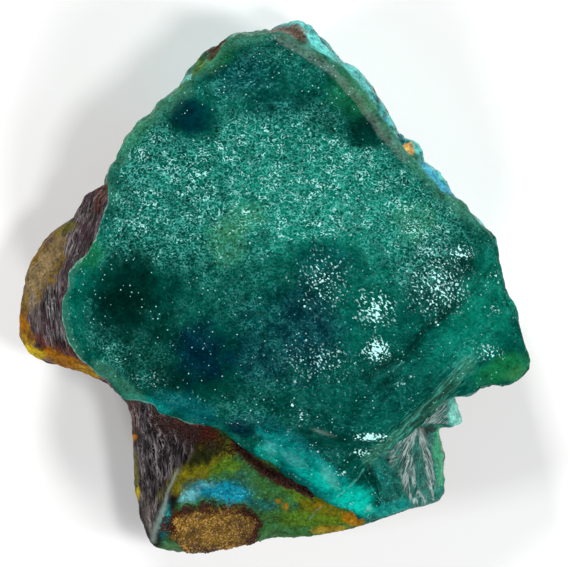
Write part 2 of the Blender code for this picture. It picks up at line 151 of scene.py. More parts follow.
# %% What stands on the flank and under the waist
# Ridges and lumps on the flank, as seen from above.
PILLAR_RIDGE = [
    (-4.6, -14.8), (-6.4, -16.4), (-8.4, -17.3), (-9.5, -18.0), (-10.3, -19.4), (-10.9, -20.8), (-11.5, -23.0),
    (-12.3, -25.2),
]
WEDGE_RIDGE = [(-3.9, -15.4), (-2.3, -17.0), (-0.8, -18.2), (0.8, -19.1), (2.3, -19.8), (3.7, -20.5)]
WING_RIDGE = [(-17.4, 9.2), (-19.6, 6.4), (-22.0, 4.0), (-23.6, 1.0), (-24.2, -2.4), (-23.6, -5.2), (-20.0, -7.4)]
FLANK_RIDGES = [(PILLAR_RIDGE, 2.2, 1.5), (WEDGE_RIDGE, 1.0, 0.7), (WING_RIDGE, 1.9, 0.6)]  # half width, height
FLANK_LUMPS = [
    ((-6.0, -24.0), 4.4, 2.1, 1.9),  # the rusty nodule
    ((-4.9, -20.2), 3.2, 1.5, -0.7),  # the blue hollow above it
    ((1.5, -22.0), 3.4, 1.8, -0.5),
    ((13.4, -18.2), 2.6, 3.4, -0.6),  # the splintered hollow at the lower right
    ((16.9, -12.6), 1.0, 1.3, 0.8),  # the chip beside it
    ((3.4, 25.2), 1.9, 1.6, 0.5),  # the sky-blue lobe at the top
    ((13.6, 14.2), 0.9, 0.9, 0.6),  # the ochre nub
]

# Rounded lumps under the waist, most of them at the upper right: bearing, height, radius, how far they stand out.
BACK_LUMPS = [
    (14, 6.6, 3.6, 1.4), (31, 4.8, 4.0, 1.9), (41, 8.6, 3.0, 1.1), (52, 5.4, 3.8, 1.8), (63, 8.2, 3.0, 1.2),
    (72, 4.6, 4.0, 1.9), (84, 7.4, 3.4, 1.3), (97, 4.8, 3.6, 1.7), (108, 7.8, 3.0, 1.2), (122, 5.6, 3.4, 1.4),
    (356, 4.6, 3.4, 1.3), (186, 4.6, 3.4, 1.0), (262, 3.4, 3.0, 1.0),
]
# Breaks across the underside, as an outward direction and its distance from the middle of the stone.
MIDDLE = np.array([0.0, 0.0, 9.0])
BREAKS = [
    ((-0.80, 0.10, -0.59), 20.6), ((-0.46, -0.68, -0.57), 20.2), ((0.34, -0.74, -0.58), 19.6),
    ((0.80, -0.26, -0.54), 20.4), ((-0.52, 0.66, -0.54), 19.6),
]

BREAK_BLUNTNESS = 0.85  # 1 would leave a break quite flat

# The unevenness of each part of the surface, as layers of height, size and seed.
FACE_SWELL = [(0.30, 4.6, 1), (0.12, 2.0, 2)]
FLANK_SWELL = [(0.35, 2.8, 3)]
UNDER_SWELL = [(0.8, 8.0, 6), (0.6, 4.5, 4), (0.3, 2.4, 5)]
BACK_LUMP_REACH = 0.93  # how far out the lumps' middles are, as a share of the outline
FACE, LIP, FLANK, UNDER, BASE = range(5)

# %% [markdown]
# ## Small tools
# A reading between points, a smooth step, a smooth lattice noise, and the distance to a broken line: with these,
# every lump, ledge and patch of colour below can be placed by a few numbers.

# %% Reading, noise and distance
def outline_radius(points, bearing):
    """How far a closed outline is from the middle, in each of the directions."""
    x, y = np.array(points).T
    turn = np.arctan2(y, x)
    order = np.argsort(turn)
    return np.interp(bearing, turn[order], np.hypot(x, y)[order], period=2 * np.pi)


def by_bearing(heights, bearing):
    """Heights given at a few bearings, read between them."""
    return np.interp(np.degrees(bearing), list(heights), list(heights.values()), period=360)


def hashed(cell, salt):
    """A number from 0 to 1 for each cell of a lattice: its coordinates times primes, stirred bit by bit."""
    x, y, z = cell.astype(np.int64).T
    mixed = (x * 73856093) ^ (y * 19349663) ^ (z * 83492791) ^ salt
    mixed = (mixed ^ (mixed >> 13)) * 1274126177 & 0x7FFFFFFF
    return ((mixed ^ (mixed >> 16)) & 0xFFFF) / 0x10000


def noise(points, size, seed):
    """Smooth lattice noise between -1 and 1, with features about as wide as size: a random number at each corner
    of a cell, and 3t^2 - 2t^3 between them."""
    places = points / size + 37.0 * seed
    cell = np.floor(places)
    part = places - cell
    part = part * part * (3 - 2 * part)
    total = np.zeros(len(points))
    for corner in product((0, 1), repeat=3):
        value = 2 * hashed(cell + corner, seed * 2654435) - 1
        total += value * np.prod(np.where(corner, part, 1 - part), axis=1)
    return total


def swell(points, layers):
    """The sum of layers of noise, each a height, a size and a seed."""
    return sum(height * noise(points, size, seed) for height, size, seed in layers)


def spot(x, y, middle, radius_x, radius_y):
    """1 in the middle of a round place, and e to the power of -d^2 about it, with d in radii."""
    return np.exp(-(((x - middle[0]) / radius_x) ** 2 + ((y - middle[1]) / radius_y) ** 2))


def lumps(x, y, places):
    """The sum of round swellings, or hollows where the height, which comes last, is negative."""
    return sum(height * spot(x, y, *place) for *place, height in places)


def smooth_step(value, low, high):
    """3t^2 - 2t^3, where t goes from 0 at the low value to 1 at the high one."""
    share = np.clip((value - low) / (high - low), 0, 1)
    return share * share * (3 - 2 * share)


def window(value, low, high, soft):
    """1 between two limits, with soft ends."""
    return smooth_step(value, low - soft, low + soft) * (1 - smooth_step(value, high - soft, high + soft))


def blended(under, over, amount):
    """One colour over another, by an amount for each vertex."""
    return under + (over - under) * amount[:, None]


def from_line(x, y, line):
    """The distance to a broken line, and on which side of it each place is: over 0 is to the left of its course."""
    nearest = np.full(len(x), np.inf)
    side = np.zeros(len(x))
    for (x0, y0), (x1, y1) in pairwise(line):
        along_x, along_y = x1 - x0, y1 - y0
        share = ((x - x0) * along_x + (y - y0) * along_y) / (along_x**2 + along_y**2)
        share = np.clip(share, 0, 1)
        off_x, off_y = x - x0 - share * along_x, y - y0 - share * along_y
        apart = np.hypot(off_x, off_y)
        closer = apart < nearest
        nearest = np.where(closer, apart, nearest)
        side = np.where(closer, np.sign(along_x * off_y - along_y * off_x), side)
    return nearest, side


# %% The profile, from the middle of the face to the middle of the base
def face_height(x, y):
    """The crust's face: a low dome that rolls over at its rim, with lumps, a fracture, and a bench below."""
    height = DOME_TOP - DOME_BEND[0] * (x - DOME_MIDDLE[0]) ** 2 - DOME_BEND[1] * (y - DOME_MIDDLE[1]) ** 2
    from_edge, _ = from_line(x, y, RIM_LINE)
    height -= RIM_FALL * np.clip(1 - from_edge / RIM_WIDTH, 0, 1) ** 2
    below_ledge = np.interp(x, *np.array(LEDGE).T) - y
    height -= LEDGE_DROP * smooth_step(below_ledge, -0.4 * LEDGE_SLOPE, LEDGE_SLOPE)
    height -= BENCH_FALL * np.maximum(below_ledge, 0)
    crack, side = from_line(x, y, FRACTURE)
    height -= FRACTURE_DROP * np.clip(1 - crack / FRACTURE_WIDTH, 0, 1) * (side > 0)
    height += lumps(x, y, FACE_LUMPS)
    off_rim = smooth_step(from_edge, LIP_ROUNDING, RIM_WIDTH)
    return height + swell(np.column_stack([x, y, height]), FACE_SWELL) * off_rim


def surface(bearing, stretch, share):
    """The stone's surface in millimetres: which way, which stretch of the profile, and how far along that."""
    widest = outline_radius(OUTLINE, bearing)
    edge = outline_radius(CRUST_EDGE, bearing)
    along_x, along_y = np.cos(bearing), np.sin(bearing)

    rim = edge - LIP_ROUNDING
    rim_height = face_height(rim * along_x, rim * along_y)
    even_rim = np.mean([outline_radius(CRUST_EDGE, bearing + turn) for turn in RIM_EVENING], axis=0) - LIP_ROUNDING
    face_radius = even_rim * share**0.92 + (rim - even_rim) * share**5
    face = face_height(face_radius * along_x, face_radius * along_y)

    lip_turn = share * np.pi
    lip_radius = rim + LIP_ROUNDING * np.sin(lip_turn) - LIP_OVERHANG * share**2
    lip = rim_height - LIP_THICKNESS * (1 - np.cos(lip_turn)) / 2

    foot, foot_height = rim - LIP_OVERHANG, rim_height - LIP_THICKNESS
    waist = np.minimum(by_bearing(WAIST_HEIGHT, bearing), foot_height - 0.6)
    flank_radius = foot + (widest - foot) * np.sin(share * np.pi / 2)
    flank = foot_height + (waist - foot_height) * share
    flank -= by_bearing(FLANK_HOLLOW, bearing) * np.sin(share * np.pi) * (1 - share)

    base = BASE_SHARE * widest
    under_turn = share * np.pi / 2
    under_radius = base + (widest - base) * np.cos(under_turn) ** UNDER_TAPER
    under = waist - (waist + BASE_SINK) * np.sin(under_turn)

    radius = np.choose(stretch, [face_radius, lip_radius, flank_radius, under_radius, base * (1 - share)])
    height = np.choose(stretch, [face, lip, flank, under, np.full(len(share), -BASE_SINK)])
    points = np.column_stack([radius * along_x, radius * along_y, height])
    return broken(roughened(points, stretch, share), stretch, widest)


def roughened(points, stretch, share):
    """Adds what stands out of the flank and the underside, and their own unevenness."""
    x, y, _ = points.T
    outward = points - MIDDLE
    outward /= np.linalg.norm(outward, axis=1)[:, None]
    mid_flank = (stretch == FLANK) * smooth_step(share, 0, 0.15) * (1 - smooth_step(share, 0.8, 1.0))
    below = (stretch == UNDER) * smooth_step(share, 0, 0.15) + (stretch == BASE)

    stand = lumps(x, y, FLANK_LUMPS) * mid_flank
    for line, half_width, height in FLANK_RIDGES:
        away, _ = from_line(x, y, line)
        stand += height * np.clip(1 - away / half_width, 0, 1) * mid_flank
    stand += swell(points, FLANK_SWELL) * mid_flank + swell(points, UNDER_SWELL) * below
    for turn, height, radius, out in BACK_LUMPS:
        turn = np.radians(turn)
        reach = BACK_LUMP_REACH * outline_radius(OUTLINE, turn)
        middle = np.array([reach * np.cos(turn), reach * np.sin(turn), height])
        apart = np.linalg.norm(points - middle, axis=1) / radius
        stand += out * np.sqrt(np.clip(1 - apart**2, 0, 1)) * below
    return points + outward * stand[:, None]


def broken(points, stretch, widest):
    """Cuts the underside along its breaks, keeps the outline, and flattens what would sink into the table."""
    below = stretch >= UNDER
    for direction, distance in BREAKS:
        direction = np.array(direction) / np.linalg.norm(direction)
        beyond = np.maximum((points - MIDDLE) @ direction - distance, 0) * below
        points = points - BREAK_BLUNTNESS * beyond[:, None] * direction
    radius = np.hypot(points[:, 0], points[:, 1])
    points[:, :2] *= np.minimum(1, widest / np.maximum(radius, 1e-6))[:, None]
    points[:, 2] = np.maximum(points[:, 2], 0)
    return points

# %% [markdown]
# ## The grid of the skin
# A polar grid would crowd its middle with slivers. So the face is a square grid bent into a disc: each square ring of
# the grid becomes a round ring, and all its cells stay about the same size. The lip, the flank, the underside and the
# base go on from its outermost ring as plain rings, and the last one closes on a single point.

# %% Bearings, stretches and shares of every vertex
FACE_RINGS = 136
COLUMNS = 8 * FACE_RINGS
BAND_RINGS = {LIP: 8, FLANK: 48, UNDER: 38, BASE: 4}


def disc_grid(rings):
    """A square grid bent into a disc: the ring is the larger of |i| and |j|, and bearings run evenly round it."""
    steps = np.arange(-rings, rings + 1)
    i, j = np.meshgrid(steps, steps, indexing="ij")
    upright = abs(j) > abs(i)
    over_j, over_i = i / np.where(j == 0, 1, j), j / np.where(i == 0, 1, i)
    bearing = np.where(upright, np.pi / 2 - np.pi / 4 * over_j, np.pi / 4 * over_i)
    bearing += np.pi * np.where(upright, j < 0, i < 0)
    return bearing.ravel(), (np.maximum(abs(i), abs(j)) / rings).ravel()


def skin_grid():
    """The disc's vertices, then the band's rings from the lip down, then the base's middle. Gives their bearings,
    stretches and shares, the faces, the last fan of triangles, and the vertices of every ring."""
    bearing, share = disc_grid(FACE_RINGS)
    stretch = np.full(len(bearing), FACE)
    side = 2 * FACE_RINGS + 1
    cell = np.arange(side * side).reshape(side, side)
    faces = [np.stack([cell[:-1, :-1], cell[1:, :-1], cell[1:, 1:], cell[:-1, 1:]], axis=-1).reshape(-1, 4)]

    rim = np.flatnonzero(share == 1)
    rim = rim[np.argsort(np.round(bearing[rim] % (2 * np.pi), 9))]
    turns = np.arange(COLUMNS) * 2 * np.pi / COLUMNS
    band = [(part, ring / count) for part, count in BAND_RINGS.items() for ring in range(1, count + 1)][:-1]
    rings = np.vstack([rim, len(bearing) + np.arange(len(band) * COLUMNS).reshape(-1, COLUMNS)])
    after = np.roll(rings, -1, axis=1)
    faces.append(np.stack([rings[:-1], rings[1:], after[1:], after[:-1]], axis=-1).reshape(-1, 4))

    bearing = np.concatenate([bearing, np.tile(turns, len(band)), [0]])
    stretch = np.concatenate([stretch, np.repeat([part for part, _ in band], COLUMNS), [BASE]])
    share = np.concatenate([share, np.repeat([down for _, down in band], COLUMNS), [1]])
    last = np.full(COLUMNS, len(bearing) - 1)
    fan = np.stack([rings[-1], last, after[-1]], axis=-1)
    return bearing, stretch, share, np.vstack(faces), fan, rings


bearing, stretch, share, quads, fan, rings = skin_grid()
base_points = surface(bearing, stretch, share)
print(len(base_points), "vertices,", 2 * len(quads) + len(fan), "triangles")

# %% The normals of the bare skin
def skin_normals(points):
    """At each vertex, the sum of the cross products of the diagonals of the quads about it, made one long."""
    crossed = np.cross(points[quads[:, 2]] - points[quads[:, 0]], points[quads[:, 3]] - points[quads[:, 1]])
    total = np.zeros_like(points)
    for corner, axis in product(range(4), range(3)):
        total[:, axis] += np.bincount(quads[:, corner], crossed[:, axis], len(points))
    total[-1] = (0, 0, -1)
    return total / np.linalg.norm(total, axis=1)[:, None]


base_normals = skin_normals(base_points)
print("share of the normals that look up:", round((base_normals[:, 2] > 0).mean(), 2))

# %% [markdown]
# ## Relief
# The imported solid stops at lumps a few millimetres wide. On the real stone the crust is pimpled with crystals, the
# matrix is drawn out in fibres, and the back is a heap of little rounded lumps. Each is a height along the skin's own
# normal. Pebbles are made from a cell noise: every cell of a lattice holds one point, and the height falls with the
# distance to the nearest one.

# %% Cell noise
def pebbles(points, size, seed):
    """Rounded bumps, 0 to 1: one minus the squared distance to the nearest of a jittered lattice's points."""
    places = points / size + 19.0 * seed
    cell = np.floor(places)
    nearest = np.full(len(points), 9.0)
    for corner in product((-1, 0, 1), repeat=3):
        there = cell + corner
        jitter = np.stack([hashed(there, (seed + axis) * 40503 + 977) for axis in range(3)], axis=1)
        nearest = np.minimum(nearest, ((there + jitter - places) ** 2).sum(axis=1))
    return np.clip(1 - nearest, 0, 1)


# %% Where the crust is sugary
DRUZY_LINE = [(-26.0, 2.0), (-7.5, 4.4), (5.6, 4.8), (20.6, -3.4)]  # the sugary part of the crust lies above it
DRUZY_FADE = 5.0
FROST_ABOVE, FROST_BELOW, FROST_LOSS = 0.85, 0.40, 0.25  # over the line, under it, and how much less to the right
# Places where the frost is thicker, or missing: middle, radius along x, radius along y, how much is added.
FROST_PLACES = [
    ((3.9, 6.2), 2.8, 0.9, 0.9), ((2.0, 6.9), 1.4, 0.6, 0.6), ((4.8, 10.6), 1.1, 0.7, 0.6),
    ((7.4, 13.4), 2.6, 0.8, 0.6), ((4.4, 13.8), 1.2, 0.5, 0.4), ((-2.2, 15.4), 2.8, 1.2, 0.4),
    ((-11.0, 12.4), 2.4, 2.0, 0.25), ((15.6, 1.2), 2.6, 2.0, 0.4), ((-17.2, -6.4), 3.0, 2.4, 0.2),
    ((-0.6, 20.4), 7.0, 4.2, -0.62), ((-8.1, 16.8), 2.0, 1.9, -1.3), ((9.0, 15.6), 2.2, 2.2, -0.9),
    ((-14.6, -0.4), 3.6, 3.4, -0.9), ((-7.1, -7.1), 3.0, 3.0, -0.9), ((5.4, 3.6), 3.4, 1.4, -0.5),
    ((7.0, 19.4), 2.6, 3.0, -0.4), ((19.0, 2.4), 2.0, 3.0, -0.5), ((17.0, -0.5), 4.0, 3.6, -0.35),
    ((21.6, -2.0), 2.2, 6.0, -0.35), ((-5.4, 22.6), 2.6, 2.0, -0.4), ((-11.0, 4.0), 5.0, 2.4, 0.15),
]
# Knots of bigger crystals, where white shards are painted as wet highlights: middle, radius along x, radius along y,
# strength.
KNOTS = [
    ((10.1, -6.1), 1.15, 1.05, 1.25), ((10.2, -2.1), 1.7, 1.8, 0.76), ((8.8, -0.8), 1.1, 1.1, 0.40),
    ((16.4, 0.2), 3.1, 3.0, 0.62), ((18.4, 3.5), 1.3, 0.9, 0.75), ((21.4, -6.3), 1.2, 0.8, 0.60),
    ((22.0, -2.2), 0.9, 0.9, 0.35), ((4.9, 0.8), 2.5, 3.4, 0.43), ((4.4, -7.4), 4.2, 2.4, 0.33),
    ((15.6, 4.4), 1.8, 2.0, 0.40), ((22.1, 1.0), 0.8, 0.7, 0.45), ((9.6, -14.75), 1.4, 0.32, 1.7),
    ((8.5, -16.3), 1.0, 0.30, 1.2), ((2.6, -12.8), 0.25, 0.8, 0.8), ((1.8, -11.6), 0.3, 0.3, 0.8),
    ((6.6, -18.3), 0.5, 0.4, 0.7), ((-12.6, -9.0), 2.6, 1.2, 0.25), ((6.3, 6.2), 2.6, 0.8, 0.25),
    ((12.6, -9.4), 2.0, 0.9, 0.25),
]


def druzy(x, y):
    """How much frost lies on the crust: much of it above a line, little below, least at the lower right."""
    above = y - np.interp(x, *np.array(DRUZY_LINE).T)
    below = FROST_BELOW - FROST_LOSS * smooth_step(x, -4, 8)
    amount = below + (FROST_ABOVE - below) * smooth_step(above, -DRUZY_FADE, DRUZY_FADE)
    return np.clip(amount + lumps(x, y, FROST_PLACES), 0, 1.4)


def knotted(x, y):
    """How thick the bigger crystals lie: the strongest of the knots there."""
    return np.max([strength * spot(x, y, *place) for *place, strength in KNOTS], axis=0)


# %% Where the matrix is fibrous
# Sectors of the flank, in degrees.
WING, BOTTOM, SPLINTERED = (150, 207), (246, 291), (302, 333)
FAN_ROOT = (14.3, -13.6)  # the fibres of the splintered facet spread from here
UP_RIDGE_X, UP_RIDGE_Y = 0.77, 0.64  # which way they run above that root
FAN_SCALE, WING_SCALE = 3.2, 22.0  # millimetres to a radian, across the fan's fibres and along the wing's
FIBRE_WIDTH, FIBRE_LENGTH = 0.42, 5.0


def fibre_place(points, bearing):
    """Across and along the fibres, in millimetres: round the wing, down the pillar, out from the fan's root, and
    above that root along the ridge."""
    x, y, z = points.T
    degrees = np.degrees(bearing) % 360
    right, down = x - FAN_ROOT[0], FAN_ROOT[1] - y
    on_wing = (degrees > WING[0]) & (degrees < WING[1])
    on_fan = (degrees > SPLINTERED[0]) & (degrees < SPLINTERED[1])
    above_root = on_fan & (down < 0.35 * right)
    kinds = [above_root, on_wing, on_fan]
    across_ridge, along_ridge = UP_RIDGE_Y * right + UP_RIDGE_X * down, UP_RIDGE_X * right - UP_RIDGE_Y * down
    across_each = [across_ridge, np.hypot(x, y) - 0.6 * z, FAN_SCALE * np.arctan2(right, down)]
    along_each = [along_ridge, WING_SCALE * bearing, np.hypot(right, down)]
    return np.select(kinds, across_each, x + 0.3 * z), np.select(kinds, along_each, y + z)


def fibres(across, along, seed):
    """Streaks: a noise that is stretched along the fibres and bent by a slower one."""
    bend = 0.5 * noise(np.column_stack([across / 3, along / 3, 0 * along]), 1.0, seed)
    place = np.column_stack([(across + bend) / FIBRE_WIDTH, along / FIBRE_LENGTH, 0 * along + seed])
    return noise(place, 1.0, seed) * 0.65 + noise(place * 2.1, 1.0, seed + 1) * 0.35


# %% The height of the relief
LUMPY_SECTORS = [(0, 128, 8), (350, 361, 4)]  # where the back is botryoidal, with its ends' softness, in degrees
NODULE, NODULE_RADII, NODULE_SQUARENESS = (-6.2, -23.9), (4.8, 2.35), 2.6  # 2 would be an ellipse
NODULE_STIR = [(0.10, 2.0, 33), (0.07, 0.7, 35)]
NAVY_DIMPLE, NAVY_RISE = ((-8.0, 17.0), 1.75, 1.75), 0.43  # it all but fills the solid's hollow
SMOOTH_PLACES = [((-8.1, 16.8), 2.1, 2.0, 1.1), ((-14.6, -0.4), 3.0, 3.0, 0.5)]  # where no crystals grow
GROOVES = [
    [(18.1, -1.3), (16.1, -3.2), (15.0, -4.0), (13.7, -5.7), (12.8, -6.9), (11.3, -7.6), (10.1, -8.2), (9.0, -8.9)],
    [(18.3, -8.3), (16.9, -10.4), (14.7, -12.3), (13.6, -13.9)],
]
GROOVE_DEPTH, GROOVE_WIDTH = 0.14, 0.45
# The finest unevenness of the bare crust and of the flank, as layers of height, size and seed.
CRUST_GRAIN, FLANK_GRAIN = [(0.09, 1.6, 26), (0.05, 0.8, 22)], [(0.12, 1.2, 24), (0.06, 0.5, 25)]
RIDGE = [(19.4, -7.2), (17.6, -9.4), (15.4, -11.8), (13.4, -13.6), (11.0, -15.6), (9.4, -17.0)]


def nearest_line(x, y, lines):
    """The distance to the nearest of several broken lines."""
    return np.min([from_line(x, y, line)[0] for line in lines], axis=0)


x, y, z = base_points.T
degrees = np.degrees(bearing) % 360
on_crust = (stretch <= LIP) * 1.0
on_flank = (stretch == FLANK) * smooth_step(share, 0, 0.12)
below_waist = (stretch == UNDER) * smooth_step(z, 0.0, 1.2)
frost = druzy(x, y) * on_crust
knots = knotted(x, y) * on_crust
sugar = (0.32 + 0.68 * np.clip(frost + knots, 0, 1)) * on_crust
dimpled = np.clip(lumps(x, y, SMOOTH_PLACES), 0, 1)
pimpled = (1 - dimpled) * (0.75 + 0.25 * np.clip(frost + knots, 0, 1)) * on_crust
across, along = fibre_place(base_points, bearing)
streaks = fibres(across, along, 11)
botryoidal = sum(window(degrees, *sector) for sector in LUMPY_SECTORS)
from_nodule = sum(
    abs(place - middle) ** NODULE_SQUARENESS / radius**NODULE_SQUARENESS
    for place, middle, radius in zip((x, y), NODULE, NODULE_RADII)
) ** (1 / NODULE_SQUARENESS) + swell(base_points, NODULE_STIR)
nodule = np.clip(1.2 - from_nodule, 0, 1) * on_flank
groove = nearest_line(x, y, GROOVES)

crown = pebbles(base_points, 2.4, 4)  # how near each place is to the top of a botryoidal lump
heaped = botryoidal * (0.55 * crown + 0.16 * pebbles(base_points, 0.9, 5) - 0.3)

# Each line is a height in millimetres times where it is found. Noise and pebbles are given their size and a seed.
pimples = 0.07 * pebbles(base_points, 0.70, 1) - 0.035 + 0.05 * noise(base_points, 0.60, 27)
relief = on_crust * ((1 - dimpled) * pimples + 0.08 * noise(base_points, 1.5, 21))
relief += NAVY_RISE * (stretch == FACE) * spot(x, y, *NAVY_DIMPLE)
relief += (on_crust - sugar) * swell(base_points, CRUST_GRAIN)
relief += 0.10 * knots * pebbles(base_points, 0.60, 7)
relief -= GROOVE_DEPTH * (stretch == FACE) * np.exp(-((groove / GROOVE_WIDTH) ** 2))
relief += (stretch == LIP) * 0.14 * noise(base_points, 1.1, 23)
relief += on_flank * (0.14 * streaks + swell(base_points, FLANK_GRAIN))
relief += 0.4 * np.sqrt(nodule) + nodule * 0.30 * pebbles(base_points, 0.8, 3)
relief += (on_flank * smooth_step(share, 0.2, 0.6) + below_waist) * heaped
rugged = 0.22 * noise(base_points, 1.5, 26) + 0.14 * pebbles(base_points, 0.9, 6) + 0.12 * streaks - 0.1
relief += below_waist * (1 - botryoidal) * rugged
skin_points = base_points + base_normals * relief[:, None]
skin_points[:, 2] = np.maximum(skin_points[:, 2], 0)
print("relief from", round(relief.min(), 2), "to", round(relief.max(), 2), "mm")

# %% [markdown]
# ## Colour
# The stone's colours are pigments, each named for what it is, and laid down as soft patches with uneven edges. A
# patch is an ellipse whose distance is stirred by noise, and a vein is a band about a broken line. What is finer than
# that is left to the shader nodes.

# %% Pigments
def pigment(red, green, blue):
    """A colour as the eye reads it, 0 to 255, turned into the light that a shader works with."""
    shade = np.array([red, green, blue]) / 255
    return np.where(shade <= 0.04045, shade / 12.92, ((shade + 0.055) / 1.055) ** 2.4)


DEEP_GREEN = pigment(0, 60, 52)
LIVE_GREEN = pigment(0, 98, 82)
LEAF_GREEN = pigment(22, 116, 66)
YELLOW_GREEN = pigment(60, 132, 76)
BLACK_GREEN = pigment(0, 32, 26)
NAVY = pigment(0, 34, 50)
DARK_TEAL = pigment(0, 54, 58)
TEAL = pigment(2, 92, 96)
TURQUOISE = pigment(2, 132, 124)
BRIGHT_TURQUOISE = pigment(8, 188, 168)
AQUA = pigment(130, 205, 192)
CYAN = pigment(101, 205, 200)
SKY = pigment(70, 170, 205)
# The white of painted highlights, and of the thickest frost.
WHITE_FROST_AND_HIGHLIGHT = pigment(190, 246, 244)
EMERALD = pigment(4, 122, 100)
DULL_GREEN = pigment(46, 92, 44)
MARGIN_GREEN = pigment(50, 146, 104)
FAN_TEAL = pigment(24, 104, 92)
# The pale frost, and the colour of painted highlights where it makes flecks and glints.
FROST_AND_GLINT = pigment(86, 186, 172)
RIM_WHITE = pigment(150, 200, 182)
CREAM = pigment(122, 104, 72)
MAUVE = pigment(58, 38, 46)
SOOT = pigment(14, 5, 10)
ASH = pigment(190, 204, 202)
HAIR_GREY = pigment(176, 164, 166)
GLASS_GREY = pigment(134, 152, 142)
GOLD = pigment(150, 118, 14)
LEMON = pigment(178, 152, 8)
AMBER = pigment(158, 102, 0)
RUST = pigment(84, 30, 6)
MAROON = pigment(26, 5, 2)
OLIVE = pigment(98, 94, 8)
DARK_OLIVE = pigment(24, 30, 8)
MOSS = pigment(74, 106, 18)
SEA_BLUE = pigment(10, 132, 156)
PALE_BLUE = pigment(104, 178, 186)
NODULE_GOLD = pigment(182, 142, 56)
STONE_GREY = pigment(112, 104, 96)
OCHRE = pigment(205, 158, 88)
BROWN = pigment(70, 44, 28)

# Patches of the crust: pigment, middle's x and y, radius along and across, turn in degrees, strength.
CRUST_PATCHES = [
    (EMERALD, 3.5, 8.5, 10.5, 7.0, -12, 0.55), (EMERALD, 8.4, 8.6, 3.6, 2.6, -20, 0.35),
    (LIVE_GREEN, 18.4, -4.4, 6.2, 4.6, -60, 0.6), (LIVE_GREEN, -18.6, 2.2, 2.0, 4.6, -18, 0.6),
    (LIVE_GREEN, 9.5, -2.0, 4.0, 4.6, 0, 0.5), (EMERALD, 20.8, -2.4, 3.2, 6.8, -22, 0.6),
    (LIVE_GREEN, -19.6, -2.6, 1.5, 4.6, 14, 0.6), (BLACK_GREEN, -12.6, -5.4, 6.6, 4.6, -35, 0.50),
    (BLACK_GREEN, -8.0, -9.6, 5.0, 2.2, -18, 0.40), (BLACK_GREEN, -13.6, 2.6, 5.0, 1.8, 0, 0.30),
    (DARK_TEAL, 0.4, -4.6, 6.4, 4.8, 0, 0.75), (DARK_TEAL, -3.2, 21.0, 3.8, 2.4, 0, 0.6),
    (DARK_TEAL, 0.5, 18.0, 3.4, 2.0, 0, 0.4), (YELLOW_GREEN, -3.6, 6.6, 2.8, 1.6, 20, 0.40),
    (YELLOW_GREEN, -4.4, 4.4, 2.0, 2.2, 0, 0.35), (YELLOW_GREEN, 14.0, 6.6, 2.4, 2.0, 0, 0.30),
    (LEAF_GREEN, -18.4, 3.6, 1.7, 1.6, 0, 0.6), (LEAF_GREEN, -13.6, 15.4, 2.4, 1.0, 45, 0.45),
    (LEAF_GREEN, 7.6, 19.2, 2.4, 3.0, 40, 0.42), (YELLOW_GREEN, 9.0, 18.4, 0.9, 1.2, 40, 0.4),
    (LEAF_GREEN, -5.6, 23.0, 2.4, 1.2, 30, 0.5), (BLACK_GREEN, 6.2, 16.6, 3.0, 2.0, -30, 0.35),
    (LEAF_GREEN, 22.8, -8.0, 3.0, 1.4, 20, 0.75), (YELLOW_GREEN, 24.2, -8.5, 1.4, 0.8, 20, 0.5),
    (DARK_TEAL, 4.8, 2.6, 3.4, 2.4, 0, 0.65), (NAVY, 3.2, -3.4, 3.2, 4.4, 20, 0.62),
    (NAVY, -1.4, -7.4, 4.4, 2.2, -30, 0.40), (BLACK_GREEN, -14.8, -0.4, 3.6, 3.4, 0, 0.85),
    (BLACK_GREEN, -14.0, -1.2, 2.2, 2.0, 0, 0.6), (NAVY, -7.2, -6.6, 2.8, 3.2, 0, 0.9),
    (NAVY, -8.1, 16.8, 2.0, 1.9, 0, 0.75), (BLACK_GREEN, 9.0, 15.4, 1.9, 2.0, 0, 0.6),
    (BLACK_GREEN, 17.4, 2.4, 3.0, 1.8, -20, 0.65), (BLACK_GREEN, 15.8, -0.2, 3.0, 3.0, 0, 0.62),
    (BLACK_GREEN, 14.6, -13.0, 2.0, 0.9, 38, 0.4), (TEAL, -8.6, -11.8, 3.6, 1.3, -22, 0.7),
    (DARK_TEAL, -2.6, -13.4, 2.4, 1.5, 0, 0.8), (NAVY, -3.4, -14.0, 1.3, 0.8, -20, 0.95),
    (TEAL, 1.4, -15.4, 3.4, 1.7, -30, 0.75), (DEEP_GREEN, 6.8, -15.2, 5.0, 1.7, -16, 0.9),
    (TURQUOISE, 4.4, -18.6, 6.6, 1.5, -38, 0.95), (TURQUOISE, -12.2, -11.5, 2.4, 0.5, -24, 0.8),
    (BRIGHT_TURQUOISE, -0.6, -16.4, 1.4, 0.8, -38, 0.5), (BRIGHT_TURQUOISE, 4.0, -18.8, 2.0, 0.7, -36, 0.5),
    (BRIGHT_TURQUOISE, 8.2, -21.2, 2.4, 1.5, -20, 0.85), (AQUA, 9.4, -22.0, 0.5, 0.3, 30, 0.4),
    (AQUA, 5.6, -18.9, 1.4, 0.5, -50, 0.16), (PALE_BLUE, 2.0, -17.0, 1.6, 0.6, -30, 0.18),
    (PALE_BLUE, -0.4, -16.0, 0.9, 0.6, -60, 0.25), (TEAL, 3.4, -19.9, 1.0, 0.5, -36, 0.35),
    (GLASS_GREY, 4.8, -14.3, 1.3, 0.2, -18, 0.25),
]
EDGE_GREEN = pigment(74, 138, 108)
EDGE_ZONE = 1.5  # how wide the paler zone along the upper edge is
# Bands of the crust along broken lines: pigment, line, half width, strength.
CRUST_BANDS = [
    (GLASS_GREY, [(0.1, 25.2), (2.6, 23.9), (5.6, 21.8), (8.2, 19.0), (10.4, 16.0), (13.0, 12.9)], 0.55, 0.35),
    (EDGE_GREEN, [(-19.3, 2.8), (-20.3, 0.9), (-20.9, -1.4), (-20.5, -4.4), (-19.2, -6.8)], 0.4, 0.28),
    (EDGE_GREEN, [(-17.4, -7.8), (-15.2, -9.6), (-13.4, -11.2)], 0.8, 0.35),
    (EDGE_GREEN, RIDGE, 0.7, 0.35),
]
